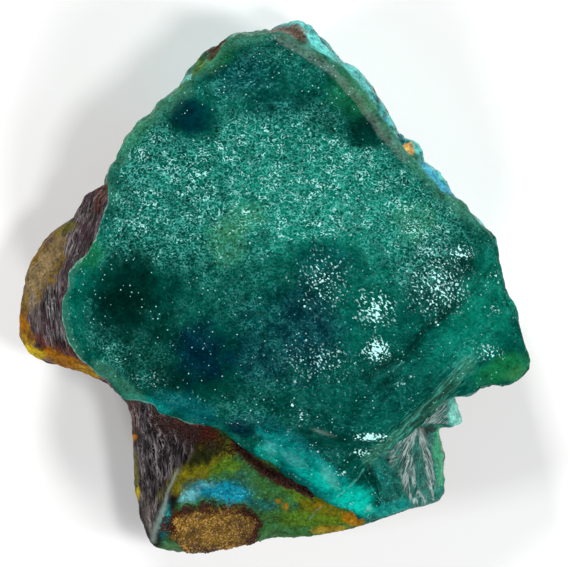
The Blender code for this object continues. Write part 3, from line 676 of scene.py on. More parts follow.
# Patches of the flank, as seen from above, written in the same way.
FLANK_PATCHES = [
    (GOLD * 0.6, -23.4, 1.8, 1.9, 5.0, -28, 0.8), (CREAM, -23.0, 2.4, 1.15, 4.0, -30, 0.9),
    (OLIVE, -20.8, 6.0, 1.5, 0.5, 40, 0.8), (MAROON, -18.5, 7.9, 1.3, 1.2, 40, 0.8),
    (RUST, -17.4, 9.2, 0.7, 1.4, -10, 0.8), (SOOT, -19.2, 3.2, 0.9, 2.6, -22, 0.7),
    (SOOT, -22.4, -1.8, 0.9, 2.2, 8, 0.85), (MAROON, -20.9, -3.4, 0.7, 2.4, 12, 0.6),
    (STONE_GREY, -23.9, -2.6, 0.6, 2.0, 10, 0.5), (AMBER * 0.8, -25.2, -3.9, 0.8, 1.6, 8, 0.95),
    (GOLD, -24.6, -5.2, 0.9, 1.0, 20, 0.8), (RUST, -21.6, -6.0, 3.4, 1.1, -22, 0.85),
    (SOOT, -21.8, -5.0, 1.8, 0.7, -30, 0.8), (AMBER * 0.75, -20.4, -7.5, 4.0, 0.75, -22, 0.95),
    (LEMON, -24.0, -6.3, 1.3, 0.6, -32, 0.95), (GOLD, -18.6, -8.2, 1.6, 0.5, -22, 0.7),
    (RUST, -14.3, -13.4, 0.6, 3.0, 0, 0.6), (AMBER, -14.1, -14.9, 0.4, 0.4, 0, 0.95),
    (OLIVE, -13.9, -19.4, 0.45, 3.2, 4, 0.8), (LEMON, -13.7, -20.4, 0.25, 0.9, 4, 0.7),
    (STONE_GREY, -12.8, -22.4, 0.5, 2.0, 12, 0.5), (MAROON, -8.0, -14.6, 4.6, 1.6, -22, 0.95),
    (RUST, -8.4, -13.9, 3.8, 0.7, -20, 0.8), (OLIVE, -7.6, -18.0, 4.8, 1.5, 38, 0.95),
    (DARK_OLIVE, -6.9, -16.7, 2.6, 0.9, 30, 0.95), (DULL_GREEN, -4.2, -18.4, 3.0, 1.2, 20, 0.7),
    (MOSS, -5.2, -17.6, 1.8, 0.6, 40, 0.8), (MOSS * 1.3, -3.9, -17.8, 0.9, 0.6, 20, 0.7),
    (TEAL * 0.8, -3.0, -18.9, 1.2, 0.9, -20, 0.45), (TEAL, -5.0, -20.2, 4.4, 1.2, -4, 0.7),
    (SEA_BLUE, -5.2, -20.3, 2.6, 1.0, -8, 0.95), (SEA_BLUE * 0.6, -7.2, -20.2, 1.6, 0.8, 20, 0.7),
    (PALE_BLUE, -8.5, -20.7, 1.4, 0.55, 24, 0.7), (PALE_BLUE * 0.8, -6.6, -19.6, 1.2, 0.3, 14, 0.5),
    (TEAL, -10.9, -23.0, 0.7, 2.2, -6, 0.85), (DULL_GREEN, 0.2, -20.0, 3.6, 1.6, -24, 0.8),
    (DULL_GREEN * 0.6, 2.2, -19.9, 2.4, 0.8, -36, 0.7), (TEAL * 0.9, -1.4, -21.6, 2.0, 0.8, -10, 0.6),
    (MOSS * 1.2, 3.4, -21.2, 2.8, 0.9, -30, 0.85), (OLIVE, 5.0, -22.3, 3.2, 1.1, -24, 0.9),
    (MOSS, 3.2, -23.2, 4.4, 0.9, -6, 0.8), (DULL_GREEN * 0.5, -0.4, -23.0, 1.6, 0.6, 0, 0.5),
    (GOLD, 4.4, -21.8, 0.5, 0.35, 0, 0.6), (AMBER, 0.4, -21.3, 0.35, 0.3, 0, 0.7),
    (AMBER, 1.1, -21.9, 0.4, 0.4, 30, 0.7), (AMBER, 7.9, -23.2, 1.2, 0.7, -20, 0.8),
    (GOLD, 5.6, -24.3, 2.0, 0.6, 0, 0.7), (MAROON, 7.6, -24.6, 1.6, 0.4, 0, 0.7),
    (BRIGHT_TURQUOISE * 0.8, 18.0, -12.4, 0.9, 1.6, 14, 0.9), (AQUA, 18.1, -12.6, 0.9, 1.4, 14, 0.85),
    (MARGIN_GREEN, 16.6, -17.0, 0.8, 3.0, 2, 0.95), (BLACK_GREEN, 15.4, -14.1, 0.9, 0.5, 10, 0.85),
    (TURQUOISE * 0.6, 10.6, -20.0, 1.4, 2.4, 0, 0.5), (TURQUOISE, 11.8, -21.9, 3.2, 0.8, 12, 0.8),
    (CYAN, 5.4, 24.2, 3.4, 1.7, -42, 0.95), (STONE_GREY, 1.4, 25.6, 2.0, 1.3, 0, 0.9),
    (BROWN, 2.6, 25.2, 1.4, 0.5, -42, 0.7), (CYAN * 0.8, 8.9, 20.8, 3.6, 1.0, -52, 0.85),
    (SKY, 11.2, 17.4, 1.5, 0.8, -56, 0.85), (OCHRE, 13.6, 14.1, 1.1, 1.1, 0, 0.95),
    (SKY, 16.2, 11.0, 1.9, 1.2, -45, 0.8), (BROWN, -5.8, 24.0, 1.3, 1.1, 40, 0.9),
    (MOSS, -7.6, 21.9, 1.5, 0.8, 50, 0.7), (CYAN * 0.7, -8.6, 21.0, 1.0, 0.4, 50, 0.7),
]
FLANK_BANDS = [
    (RUST * 0.8, WEDGE_RIDGE, 0.6, 0.9), (MAROON, WEDGE_RIDGE, 0.45, 0.95),
]
CRUST_STIR = [(0.24, 1.4, 31), (0.16, 0.5, 32)]  # how the edges of patches are stirred: reach, size, seed
FLANK_STIR = [(0.26, 1.5, 31), (0.18, 0.6, 32), (0.12, 0.3, 34)]
EDGE_STIR = [(1.0, 1.8, 54), (0.6, 0.6, 55)]

# Pale veins, drawn by the shaders from the distance to them: half width, line.
CRUST_VEINS = [
    (0.13, [(8.9, -18.0), (8.2, -19.0), (7.4, -19.8), (6.2, -20.9)]),
    (0.07, [(8.7, -18.2), (9.8, -20.0), (10.6, -21.2), (9.8, -22.3)]),
    (0.09, [(12.9, -7.3), (12.4, -7.6), (11.7, -8.3)]),
    (0.08, [(18.8, -7.1), (17.5, -9.5), (16.1, -10.6), (14.9, -11.7), (13.3, -13.8)]),
    (0.06, [(19.5, -7.6), (18.6, -9.2), (17.6, -10.4)]),
    (0.05, [(3.0, 9.6), (4.2, 9.9), (5.4, 8.6), (6.6, 9.0), (7.6, 8.0)]),
    (0.05, [(6.2, 8.4), (7.0, 7.2), (7.6, 5.8)]),
]
FLANK_VEINS = [
    (0.14, [(-9.6, -18.0), (-10.2, -19.2), (-10.8, -20.6), (-11.0, -21.8)]),
    (0.28, [(-11.0, -21.8), (-11.5, -23.0), (-12.0, -24.2), (-12.2, -25.3)]),
    (0.08, [(4.7, -22.0), (4.1, -22.4), (3.5, -23.1)]),
]
# The pale bundles of fibres in the splintered facet: half width, strength, line.
BUNDLES = [
    (0.50, 1.0, [(14.0, -14.2), (13.2, -16.0), (13.0, -18.4), (13.2, -20.4), (14.0, -21.6)]),
    (0.55, 0.9, [(14.6, -14.2), (15.2, -16.4), (15.6, -18.8), (16.2, -21.0)]),
    (0.40, 0.6, [(13.4, -14.6), (11.9, -16.2), (11.5, -18.6)]),
    (0.35, 0.7, [(13.6, -17.0), (13.9, -19.4), (14.9, -21.2)]),
]
# A band of white hairs down the wing.
WING_HAIRS = [(-19.8, 5.8), (-20.8, 3.6), (-21.7, 1.4), (-22.6, -0.6), (-22.2, -3.2), (-20.8, -5.2)]


def painted(colour, points, patches, edge_stir, soft):
    """Lays patches over a colour, with edges that noise has stirred and that are soft by a share of the radius."""
    x, y, _ = points.T
    stir = swell(points, edge_stir)
    for shade, middle_x, middle_y, radius_along, radius_across, turn, strength in patches:
        turn = np.radians(turn)
        right, up = x - middle_x, y - middle_y
        along = (right * np.cos(turn) + up * np.sin(turn)) / radius_along
        across = (up * np.cos(turn) - right * np.sin(turn)) / radius_across
        away = np.hypot(along, across) + stir
        colour = blended(colour, shade, strength * (1 - smooth_step(away, 0.9 - soft, 0.9 + soft)))
    return colour


def lined(colour, points, bands):
    """Lays bands about broken lines over a colour."""
    x, y, _ = points.T
    stir = swell(points, FLANK_STIR)
    for shade, line, half_width, strength in bands:
        away = from_line(x, y, line)[0] / half_width + 0.8 * stir
        colour = blended(colour, shade, strength * (1 - smooth_step(away, 0.6, 1.1)))
    return colour


def crust_colour(points):
    """The crust: deep green, a little lighter where it is sugary, with its patches."""
    x, y, _ = points.T
    lively = 0.75 * np.clip(druzy(x, y), 0, 1) + 0.25 * noise(points, 3.5, 51)
    colour = blended(DEEP_GREEN, LIVE_GREEN, np.clip(lively, 0, 1))
    colour = lined(painted(colour, points, CRUST_PATCHES, CRUST_STIR, 0.4), points, CRUST_BANDS)
    from_edge = from_line(x, y, RIM_LINE)[0] + 0.5 * swell(points, EDGE_STIR)
    along_top = window(np.degrees(np.arctan2(y, x)), 18, 150, 8)
    return blended(colour, EDGE_GREEN, 0.5 * along_top * (1 - smooth_step(from_edge, 0.0, EDGE_ZONE)))


# %% The colour of each vertex
def layered(points, size, seed):
    """Noise whose edges are ragged: a coarse layer with two finer ones, over 0 on about half of the surface."""
    return swell(points, [(1.0, size, seed), (0.4, size / 4, seed + 20), (0.2, size / 10, seed + 40)])


# The lumps at the back are sea blue, and the underside is brown, with stains: pigment, size, seed, how much noise it
# takes, and strength.
STAINS = [
    (MAUVE, 4.0, 41, 0.1, 0.9), (SOOT, 2.6, 42, 0.35, 0.8), (AMBER * 0.8, 5.0, 43, 0.40, 0.85),
    (GOLD * 0.8, 3.0, 44, 0.55, 0.8),
]
sea = blended(TEAL, CYAN * 0.8, smooth_step(crown + 0.2 * noise(base_points, 0.5, 47), 0.35, 0.95))
earth = BROWN
for shade, size, seed, needed, strength in STAINS:
    stain = smooth_step(layered(base_points, size, seed), needed - 0.12, needed + 0.12)
    earth = blended(earth, shade, strength * stain)
sea_share = smooth_step(botryoidal - 0.5 + 0.7 * layered(base_points, 3.4, 45), -0.12, 0.12)
under_colour = blended(earth, sea, sea_share * smooth_step(z, 1.0, 3.0))

FLANK_SECTORS = [(MAUVE, WING), (DULL_GREEN, BOTTOM), (FAN_TEAL, (BOTTOM[1], SPLINTERED[1])), (TEAL, (40, 90))]
TIP_SECTOR, BACK_SECTOR = (63, 130), (95, 240)  # beside the pointed corner, and the back: degrees from the south
flank_base = SOOT
for shade, sector in FLANK_SECTORS:
    flank_base = blended(flank_base, shade, window(degrees, *sector, 1.5))
from_south = (degrees + 90) % 360
beside_tip, back = [window(from_south, *sector, 3) for sector in (TIP_SECTOR, BACK_SECTOR)]
green = crust_colour(base_points)
flank_base = blended(blended(flank_base, green, beside_tip), green, back)
# At the back the patches wander round the stone on their way down.
wander = back * smooth_step(share, 0.15, 0.9) * 2.6 * layered(base_points, 2.2, 48)
around = np.column_stack([-np.sin(bearing), np.cos(bearing), 0 * bearing])
flank_colour = painted(flank_base, base_points + wander[:, None] * around, FLANK_PATCHES, FLANK_STIR, 0.26)
flank_colour = lined(flank_colour, base_points, FLANK_BANDS)
flank_colour = blended(flank_colour, RUST * 0.5, smooth_step(1.0 - from_nodule, -0.02, 0.06))
flank_colour = blended(flank_colour, NODULE_GOLD * 0.5, smooth_step(0.85 - from_nodule, -0.04, 0.08) * 0.8)

# How far down the flank's colours reach, where 1 is the waist: at the back, at the front, and further in places.
BACK_REACH, FRONT_REACH, BACK_EXTRA, TIP_EXTRA = 0.5, 1.16, 0.6, 0.3
down = share + (stretch == UNDER) * (1 + share) + 3.0 * (stretch == BASE)
turn_over = BACK_REACH + BACK_EXTRA * (window(degrees, 88, 160, 6) + 1 - window(degrees, 30, 335, 5))
lower_wall = smooth_step(down - turn_over + 0.3 * layered(base_points, 2.0, 48), -0.06, 0.06)
waist = FRONT_REACH + TIP_EXTRA * beside_tip
past_waist = smooth_step(down - waist + 0.12 * layered(base_points, 1.6, 49), -0.08, 0.08)
colour = blended(flank_colour, under_colour, back * lower_wall + (1 - back) * past_waist)
colour = np.where((stretch <= LIP)[:, None], green, colour)
glassy = smooth_step(colour[:, 1] + colour[:, 2] - 2 * colour[:, 0], 0.02, 0.14)
print("mean colour", colour.mean(axis=0).round(3))

# %% [markdown]
# ## Crust and matrix
# The skin is parted along the crust's foot into two pieces, so that each can have small faces. Each piece is closed
# by a fan of triangles that runs inside the stone to a hidden hub. The meshes carry what the shaders need as
# attributes: the colour, how pimpled and frosty it is, how fibrous, and how far it is to the rim, to a groove or to a
# vein.

# %% Mesh and attributes
def new_mesh(name, points, faces):
    """A smooth object from points in millimetres, linked into the scene."""
    mesh = bpy.data.meshes.new(name)
    mesh.from_pydata(points * MM, [], faces)
    mesh.shade_smooth()
    piece = bpy.data.objects.new(name, mesh)
    bpy.context.scene.collection.objects.link(piece)
    return piece


def add_attribute(piece, name, values):
    """A number, a vector or a colour for each vertex, kept in the mesh for the shader nodes."""
    kind, field = ("FLOAT", "value") if values.ndim == 1 else ("FLOAT_VECTOR", "vector")
    if name.endswith("colour"):
        kind, field = "FLOAT_COLOR", "color"
        values = np.column_stack([values, np.ones(len(values))])
    attribute = piece.data.attributes.new(name, kind, "POINT")
    attribute.data.foreach_set(field, values.astype(np.float32).ravel())


def stands_for_stone(piece):
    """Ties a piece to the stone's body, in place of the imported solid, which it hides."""
    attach(piece, "root")
    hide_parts("stone")


def vein_distance(veins):
    """How far each place is from the nearest vein, in half widths of that vein."""
    return np.min([from_line(x, y, line)[0] / half_width for half_width, line in veins], axis=0)


def skin_piece(name, four_sided, three_sided, ring, hub_height, attributes):
    """A part of the skin, closed by a fan from one of its rings to a hub inside the stone."""
    kept = np.unique(np.concatenate([four_sided.ravel(), three_sided.ravel()]))
    ring = np.searchsorted(kept, ring)
    cap = np.stack([ring, np.roll(ring, -1), np.full(COLUMNS, len(kept))], axis=-1)
    shown = np.searchsorted(kept, four_sided).tolist() + np.searchsorted(kept, three_sided).tolist()
    piece = new_mesh(name, np.vstack([skin_points[kept], [0, 0, hub_height]]), shown + cap.tolist())
    piece.data.polygons.foreach_set("use_smooth", np.arange(len(shown) + len(cap)) < len(shown))
    for attribute, values in attributes.items():
        add_attribute(piece, attribute, np.concatenate([values[kept], values[kept[:1]]]))
    stands_for_stone(piece)
    print(name, "has", 2 * len(four_sided) + len(three_sided) + len(cap), "triangles")
    return piece


# %% The two pieces of skin
FIBROUS_SECTORS = [(*WING, 3), (207, 243, 1), (303, 332, 1)]  # the wing, the pillar and the splintered facet
CHIP_FOOT = -14.3  # the chip beside that facet lies above it
# Where the crust has a pale rim: strength, from, to, and how soft the ends are, in degrees.
RIM_SECTORS = [(0.7, 150, 206, 6), (0.5, 219, 240, 4), (0.25, 20, 80, 4)]
STEEP = (0.07, 0.20)  # how far a normal leans, as one minus its height, where the wax loses its shine
CRUST_HUB, MATRIX_HUB = 10.0, 12.0  # how high the hidden hubs are, in millimetres


def along_line(line, half_width):
    """1 on a broken line, and e to the power of -d^2 beside it, with d in half widths."""
    return np.exp(-((from_line(x, y, line)[0] / half_width) ** 2))


from_rim, _ = from_line(x, y, RIM_LINE)
on_wing, on_pillar, on_fan = [window(degrees, *sector) for sector in FIBROUS_SECTORS]
above_root = y > FAN_ROOT[1]
margin = smooth_step(x, 15.7, 16.3) * (y < CHIP_FOOT) + smooth_step(x, 17.2, 17.6) * (y > CHIP_FOOT)
bundles = np.max([strong * along_line(line, wide) for wide, strong, line in BUNDLES], axis=0)
in_fan = np.where(above_root, 0.8, 0.15 + bundles) * (1 - 0.85 * margin)
plain = smooth_step(colour[:, 0] - colour[:, 2], 0.05, 0.14)
fibrous = on_flank * (0.72 * on_wing + 0.78 * on_pillar + on_fan * in_fan) * (1 - 0.95 * plain)
veil = on_fan * np.where(above_root, 0.6, bundles) * (1 - 0.85 * margin)
veil = on_flank * (veil + 0.6 * on_wing * along_line(WING_HAIRS, 0.7) * (1 - 0.6 * plain))
hair_colour = blended(HAIR_GREY, ASH, np.clip(on_fan + 0.5 * veil, 0, 1))
quad_stretch = stretch[quads].max(axis=1)
crust_foot = rings[BAND_RINGS[LIP]]
lean = 1 - base_normals[:, 2]
crust_attributes = {
    "colour": colour, "pimpled": pimpled, "frost": frost * (0.55 + 0.45 * smooth_step(from_rim, 0.4, 2.2)),
    "knot": knots, "groove": groove, "ridge": along_line(RIDGE, 1.1), "vein": vein_distance(CRUST_VEINS),
    "rim": from_rim,
    "rim_strength": sum(strength * window(degrees, *sector) for strength, *sector in RIM_SECTORS),
    "steep": np.maximum(smooth_step(lean, *STEEP), smooth_step(dimpled, 0.1, 0.5)),
}
matrix_attributes = {
    "colour": colour, "fibrous": fibrous, "veil": veil, "glassy": glassy, "hair_colour": hair_colour,
    "vein": vein_distance(FLANK_VEINS) + 9 * (stretch > FLANK),
    "fibre_place": np.column_stack([across, along, 0 * along]) * MM,
}
no_faces = np.empty((0, 3), int)
crust = skin_piece("crust", quads[quad_stretch <= LIP], no_faces, crust_foot[::-1], CRUST_HUB, crust_attributes)
matrix = skin_piece("matrix", quads[quad_stretch > LIP], fan, crust_foot, MATRIX_HUB, matrix_attributes)

# %% [markdown]
# ## Shader sums
# Node trees are hard to read as lists of links. So a socket is wrapped in a small class, and 1 - mask or mask * 0.3
# adds the Math node itself. Every other node comes from one method. In the finishes, a pattern's first number is its
# size in millimetres, and a ramp's two are where it is 0 and where it is 1.

# %% A socket that can be reckoned with
class Socket:
    """A node's output. Arithmetic on it, such as 1 - mask, adds Math nodes to its material."""

    def __init__(self, finish, socket):
        self.finish, self.socket = finish, socket

    def reckon(self, operation, first, second=0.0):
        """A Math node of two sockets or numbers."""
        return self.finish.node("Math", {"operation": operation}, {0: first, 1: second})

    def __abs__(self):
        return self.reckon("ABSOLUTE", self)

    def or_more(self, other):
        """The larger of the two."""
        return self.reckon("MAXIMUM", self, other)

    def ramped(self, low, high):
        """0 under low and 1 over high, smoothly between, and never outside 0 to 1."""
        settings = {"interpolation_type": "SMOOTHSTEP", "clamp": True}
        return self.finish.node("MapRange", settings, {0: self, 1: low, 2: high, 3: 0.0, 4: 1.0})

    def fading(self, low, high):
        """1 under low and 0 over high."""
        return 1 - self.ramped(low, high)


def operator(operation, reflected):
    """What Python calls for socket + value, or for value + socket where it is reflected."""
    if reflected:
        return lambda self, other: self.reckon(operation, other, self)
    return lambda self, other: self.reckon(operation, self, other)


for sign, operation in {"add": "ADD", "sub": "SUBTRACT", "mul": "MULTIPLY"}.items():
    setattr(Socket, f"__{sign}__", operator(operation, False))
    setattr(Socket, f"__r{sign}__", operator(operation, True))


class Finish:
    """A material with one Principled shader, and the ways to add what feeds it."""

    def __init__(self, name, constants=()):
        self.material = bpy.data.materials.new(name)
        self.material.use_nodes = True
        self.tree = self.material.node_tree
        self.shaders = [self.tree.nodes["Principled BSDF"]]
        for socket, value in dict(constants).items():
            self.shaders[0].inputs[socket].default_value = value

    def node(self, kind, settings, inputs, output=0):
        """Any other node, with its settings, and with its inputs by number or name."""
        node = self.tree.nodes.new("ShaderNode" + kind)
        for name, value in settings.items():
            setattr(node, name, value)
        for socket, value in inputs.items():
            self.feed(node.inputs[socket], value)
        return Socket(self, node.outputs[output])

    def feed(self, socket, value):
        """Links a socket to another, or gives it a value."""
        if isinstance(value, Socket):
            self.tree.links.new(value.socket, socket)
        else:
            socket.default_value = value

    def attribute(self, name, output="Fac"):
        """What the mesh carries for each vertex."""
        return self.node("Attribute", {"attribute_name": name}, {}, output)

    def own_colour(self, lights):
        """The piece's own colour, from its mesh, times a number that varies over the surface."""
        return self.brightened(self.attribute("colour", "Color"), lights)

    def place(self):
        """The place in the piece's own axes, in metres."""
        return self.node("TexCoord", {}, {}, "Object")

    def drawn_out(self, vector, turn, stretch):
        """A place read in axes turned by some degrees, so that a pattern is drawn out along the second of them."""
        inputs = {"Vector": vector, "Rotation": (0.0, 0.0, np.radians(turn)), "Scale": (1.0, stretch, 1.0)}
        return self.node("Mapping", {"vector_type": "TEXTURE"}, inputs)

    def shaken(self, vector, size, reach):
        """A place moved at random, by up to about a reach, by a noise of a size, both in millimetres."""
        by_noise = self.node("TexNoise", {}, {"Vector": vector, "Scale": 1 / (size * MM), "Detail": 1.0}, "Color")
        centred = self.node("VectorMath", {"operation": "SUBTRACT"}, {0: by_noise, 1: (0.5, 0.5, 0.5)})
        reach = (2 * reach * MM,) * 3
        return self.node("VectorMath", {"operation": "MULTIPLY_ADD"}, {0: centred, 1: reach, 2: vector})

    def noise(self, vector, size, detail=2.0):
        """Noise with features of about a size in millimetres, mostly between 0.3 and 0.7."""
        return self.node("TexNoise", {}, {"Vector": vector, "Scale": 1 / (size * MM), "Detail": detail})

    def cells(self, vector, size, feature="F1", output="Distance"):
        """Cells about as wide as a size: the distance to their points or edges, or a tone for each."""
        inputs = {"Vector": vector, "Scale": 1 / (size * MM)}
        return self.node("TexVoronoi", {"feature": feature}, inputs, output)

    def worms(self, vector, size, width):
        """Fine curls: where a noise crosses its middle, with a width in the noise's own units."""
        return abs(self.noise(vector, size, 0.6) - 0.5).fading(0.3 * width, width)

    def mixed(self, amount, first, second, blend="MIX"):
        """Two colours mixed: the first is a socket, and the second is one too or a pigment."""
        second = second if isinstance(second, Socket) else (*second, 1.0)
        return self.node("Mix", {"data_type": "RGBA", "blend_type": blend}, {0: amount, 6: first, 7: second}, 2)

    def brightened(self, colour, factor):
        """A colour times a number that varies over the surface."""
        grey = self.node("CombineColor", {}, {0: factor, 1: factor, 2: factor})
        return self.mixed(1.0, colour, grey, "MULTIPLY")

    def bumped(self, height, depth):
        """A normal from a height, whose whole range is a depth in millimetres."""
        return self.node("Bump", {}, {"Strength": 1.0, "Distance": depth * MM, "Height": height})

    def dulled(self, amount, specular_level):
        """Where the amount is 1, a twin of the shader takes over that is the same but for its specular level."""
        twin = self.tree.nodes.new("ShaderNodeBsdfPrincipled")
        for name in ("Subsurface Weight", "Subsurface Scale", "Subsurface Radius"):
            twin.inputs[name].default_value = self.shaders[0].inputs[name].default_value
        twin.inputs["Specular IOR Level"].default_value = specular_level
        self.shaders.append(twin)
        glossy, dull = [Socket(self, shader.outputs[0]) for shader in self.shaders]
        both = self.node("MixShader", {}, {0: amount, 1: glossy, 2: dull})
        self.feed(self.tree.nodes["Material Output"].inputs["Surface"], both)

    def dress(self, piece, colour, roughness, normal):
        """Feeds what varies to the shader and its twin, and gives the material to a piece."""
        for shader in self.shaders:
            for socket, value in {"Base Color": colour, "Roughness": roughness, "Normal": normal}.items():
                self.feed(shader.inputs[socket], value)
        piece.data.materials.append(self.material)


def waxy(name, specular_level, tint):
    """A finish that lets a little light in, as smithsonite does, with reflections of a tint."""
    return Finish(name, {
        "Subsurface Weight": 0.12, "Subsurface Scale": 1.0 * MM, "Subsurface Radius": (0.2, 1.0, 0.8),
        "Specular IOR Level": specular_level, "Specular Tint": (*tint, 1.0),
    })


# %% [markdown]
# ## The crust's finish
# Smithsonite is waxy and lets light in, so the crust has some subsurface scattering, and a smooth, wet-looking
# surface. Frost lies on it as broken curls and as a net of pale flecks, which are partly painted highlights, and
# whiter painted highlights lie on it as dots and as shards in the knots. The grooves are darkened with painted shade.
# A pale line follows its very rim, and fine pimples let each small dome catch a lamp.

# %% Crust
CRUST_BUMP = 0.15  # how deep the finest relief is, which only bends the light, in millimetres


def finish_crust():
    """Light and dark wax with painted shade in the grooves, frost in curls and grains that are partly painted
    highlights, painted highlights as dots and as shards in the knots, veins, and the pale rim.
    """
    wax = waxy("smithsonite_crust", 0.15, (0.12, 1.0, 0.95))
    wax.dulled(wax.attribute("steep"), 0.0)
    place = wax.place()
    flow = wax.drawn_out(place, 90, 1.4)
    pimpled, frost_and_highlight, knot = wax.attribute("pimpled"), wax.attribute("frost"), wax.attribute("knot")
    mottle = wax.noise(place, 1.5, 3.0).ramped(0.3, 0.7)
    fine = wax.noise(flow, 0.22).ramped(0.34, 0.66)
    weave = wax.worms(flow, 0.45, 0.15)
    rough = 0.55 + 0.45 * frost_and_highlight.ramped(0.15, 0.7)
    lights = 0.76 + 0.46 * mottle + rough * (0.64 * fine + 0.34 * weave - 0.66)
    # Painted shade: the colour is darkened to half in the grooves.
    colour = wax.brightened(wax.own_colour(lights), 0.5 + 0.5 * wax.attribute("groove").ramped(0.0, 0.7))

    # Frost, as grains, curls and a net of flecks, where it lies thick; the flecks are partly painted highlights.
    # A tone plus 0 is a number, not a colour.
    loose = wax.shaken(flow, 0.4, 0.12)
    tone = wax.cells(loose, 0.23, "F1", "Color") + 0.0
    grains = wax.cells(loose, 0.23).fading(0.25, 0.55) * tone.ramped(0.46, 0.74)
    breaks = wax.noise(flow, 0.30)
    curls = wax.worms(flow, 0.33, 0.08) * breaks.ramped(0.44, 0.56)
    net = wax.cells(loose, 0.45, "DISTANCE_TO_EDGE").fading(0.01, 0.10) * breaks.fading(0.42, 0.54)
    thick = (0.8 * wax.noise(place, 1.5, 4.0) + 0.50 * frost_and_highlight).ramped(0.40, 1.02)
    thick = thick * (0.4 + 0.6 * frost_and_highlight.ramped(0.1, 0.6))
    pale = grains.or_more(curls).or_more(net * 0.8) * thick
    colour = wax.mixed(pale * 0.85, colour, FROST_AND_GLINT)

    # Whiter still are painted highlights: dots, the shards of the knots, and on the thickest of the frost.
    highlight_dots = wax.cells(place, 0.50).fading(0.07, 0.17) * wax.noise(place, 1.2).ramped(0.44, 0.58)
    highlight_shards = (wax.noise(wax.drawn_out(place, 50, 1.6), 0.20, 1.5) + 0.20 * knot).ramped(0.66, 0.73)
    highlight_shards = highlight_shards * knot.ramped(0.05, 0.45)
    bright_frost_and_highlight = (pale * wax.noise(flow, 0.9, 3.0).ramped(0.36, 0.62)).ramped(0.30, 0.85) * 0.72
    white = bright_frost_and_highlight.or_more(highlight_dots * 0.8).or_more(highlight_shards)
    colour = wax.mixed(white, colour, WHITE_FROST_AND_HIGHLIGHT)

    # The fibrous ridge, the pale veins and the rim.
    streaks = wax.noise(wax.drawn_out(wax.shaken(place, 1.5, 0.2), -45, 9.0), 0.22)
    colour = wax.mixed(wax.attribute("ridge") * streaks.ramped(0.50, 0.68) * 0.5, colour, FROST_AND_GLINT)
    stir = wax.noise(place, 0.45, 3.0)
    colour = wax.mixed((wax.attribute("vein") + 2.0 * stir).fading(0.8, 2.4) * 0.5, colour, FROST_AND_GLINT)
    rim_line = (wax.attribute("rim") + 0.40 * stir).fading(0.18, 0.42) * wax.attribute("rim_strength")
    colour = wax.mixed(rim_line, colour, RIM_WHITE)

    height = (wax.noise(place, 0.42, 1.5) + 0.12 * fine) * pimpled + 0.15 * pale + 0.12 * highlight_shards
    wax.dress(crust, colour, 0.12 + 0.10 * pale, wax.bumped(height, CRUST_BUMP))


finish_crust()

# %% Matrix and flank
MATRIX_BUMP = 0.08


def finish_matrix():
    """Mottled rock, with hairs and threads where it is fibrous, and painted sparks and glints where it is glassy."""
    rock = Finish("iron_stained_matrix", {"Specular IOR Level": 0.05})
    place, fibre_place = rock.place(), rock.attribute("fibre_place", "Vector")
    fibrous, glassy, vein = rock.attribute("fibrous"), rock.attribute("glassy"), rock.attribute("vein")
    bent = rock.shaken(fibre_place, 2.4, 0.22)
    mottle = rock.noise(place, 0.9, 4.0).ramped(0.3, 0.7)
    grain = rock.noise(place, 0.27, 2.5).ramped(0.3, 0.7)
    colour = rock.own_colour(0.34 + 0.62 * mottle + 0.60 * grain)

    # Hairs, tufts and threads are drawn out along the fibres.
    hairs = rock.worms(rock.drawn_out(bent, 1, 9.0), 0.34, 0.034)
    for turn, size in ((-6, 0.26), (7, 0.30)):
        hairs = hairs.or_more(rock.worms(rock.drawn_out(bent, turn, 7.0), size, 0.030))
    tufts = rock.noise(rock.drawn_out(bent, 0, 3.0), 0.9, 3.0).ramped(0.40, 0.66)
    threads = rock.noise(rock.drawn_out(bent, 0, 10.0), 0.20).ramped(0.40, 0.66)
    pale = (0.25 + 0.75 * tufts) * (0.25 * threads).or_more(hairs * (0.5 + 0.5 * threads))
    colour = rock.brightened(colour, 1 - fibrous * (1 - threads) * 0.55)
    hair_colour = rock.attribute("hair_colour", "Color")
    veil = (rock.attribute("veil") * (0.15 + 0.45 * threads + 0.40 * hairs)).ramped(0.08, 0.75) * 0.9
    colour = rock.mixed((fibrous * pale).or_more(veil), colour, hair_colour)

    # Flecks lie wherever it isn't fibrous, painted highlights as sparks and glints where it is glassy, and pale veins
    # cross it.
    flecks = rock.noise(place, 0.22).ramped(0.54, 0.68) * rock.noise(place, 1.4, 3.0).ramped(0.40, 0.60)
    colour = rock.brightened(colour, 1 + 0.9 * flecks * (1 - fibrous))
    painted_sparks = rock.cells(place, 0.45).fading(0.08, 0.20) * rock.noise(place, 1.1, 3.0).ramped(0.44, 0.60)
    painted_glints = glassy * (1 - 0.8 * fibrous) * (flecks * 0.30).or_more(painted_sparks * 0.8)
    colour = rock.mixed(painted_glints, colour, FROST_AND_GLINT)
    pale_vein = (vein + 1.4 * rock.noise(place, 0.5, 3.0)).fading(0.6, 2.6) * 0.65
    colour = rock.mixed(pale_vein, colour, GLASS_GREY)

    height = fibrous * (0.4 * hairs + 0.5 * threads) + (0.6 - 0.4 * glassy) * grain + 0.4 * mottle + 0.3 * painted_glints
    roughness = 0.66 - 0.12 * mottle - 0.34 * glassy - 0.14 * fibrous
    rock.dress(matrix, colour, roughness, rock.bumped(height, MATRIX_BUMP))


finish_matrix()

# %% [markdown]
# ## The crystals
# The sugar on the crust is made of real crystals: rhombohedra a quarter of a millimetre across, half sunk in it, each
# with its own tilt. When a face happens to lean half way between the eye and a lamp, it flashes, and that is what
# makes a druse sparkle. A share of them, most of all in the knots, is also painted near white as highlights. One
# template is turned, sized and moved by whole arrays.

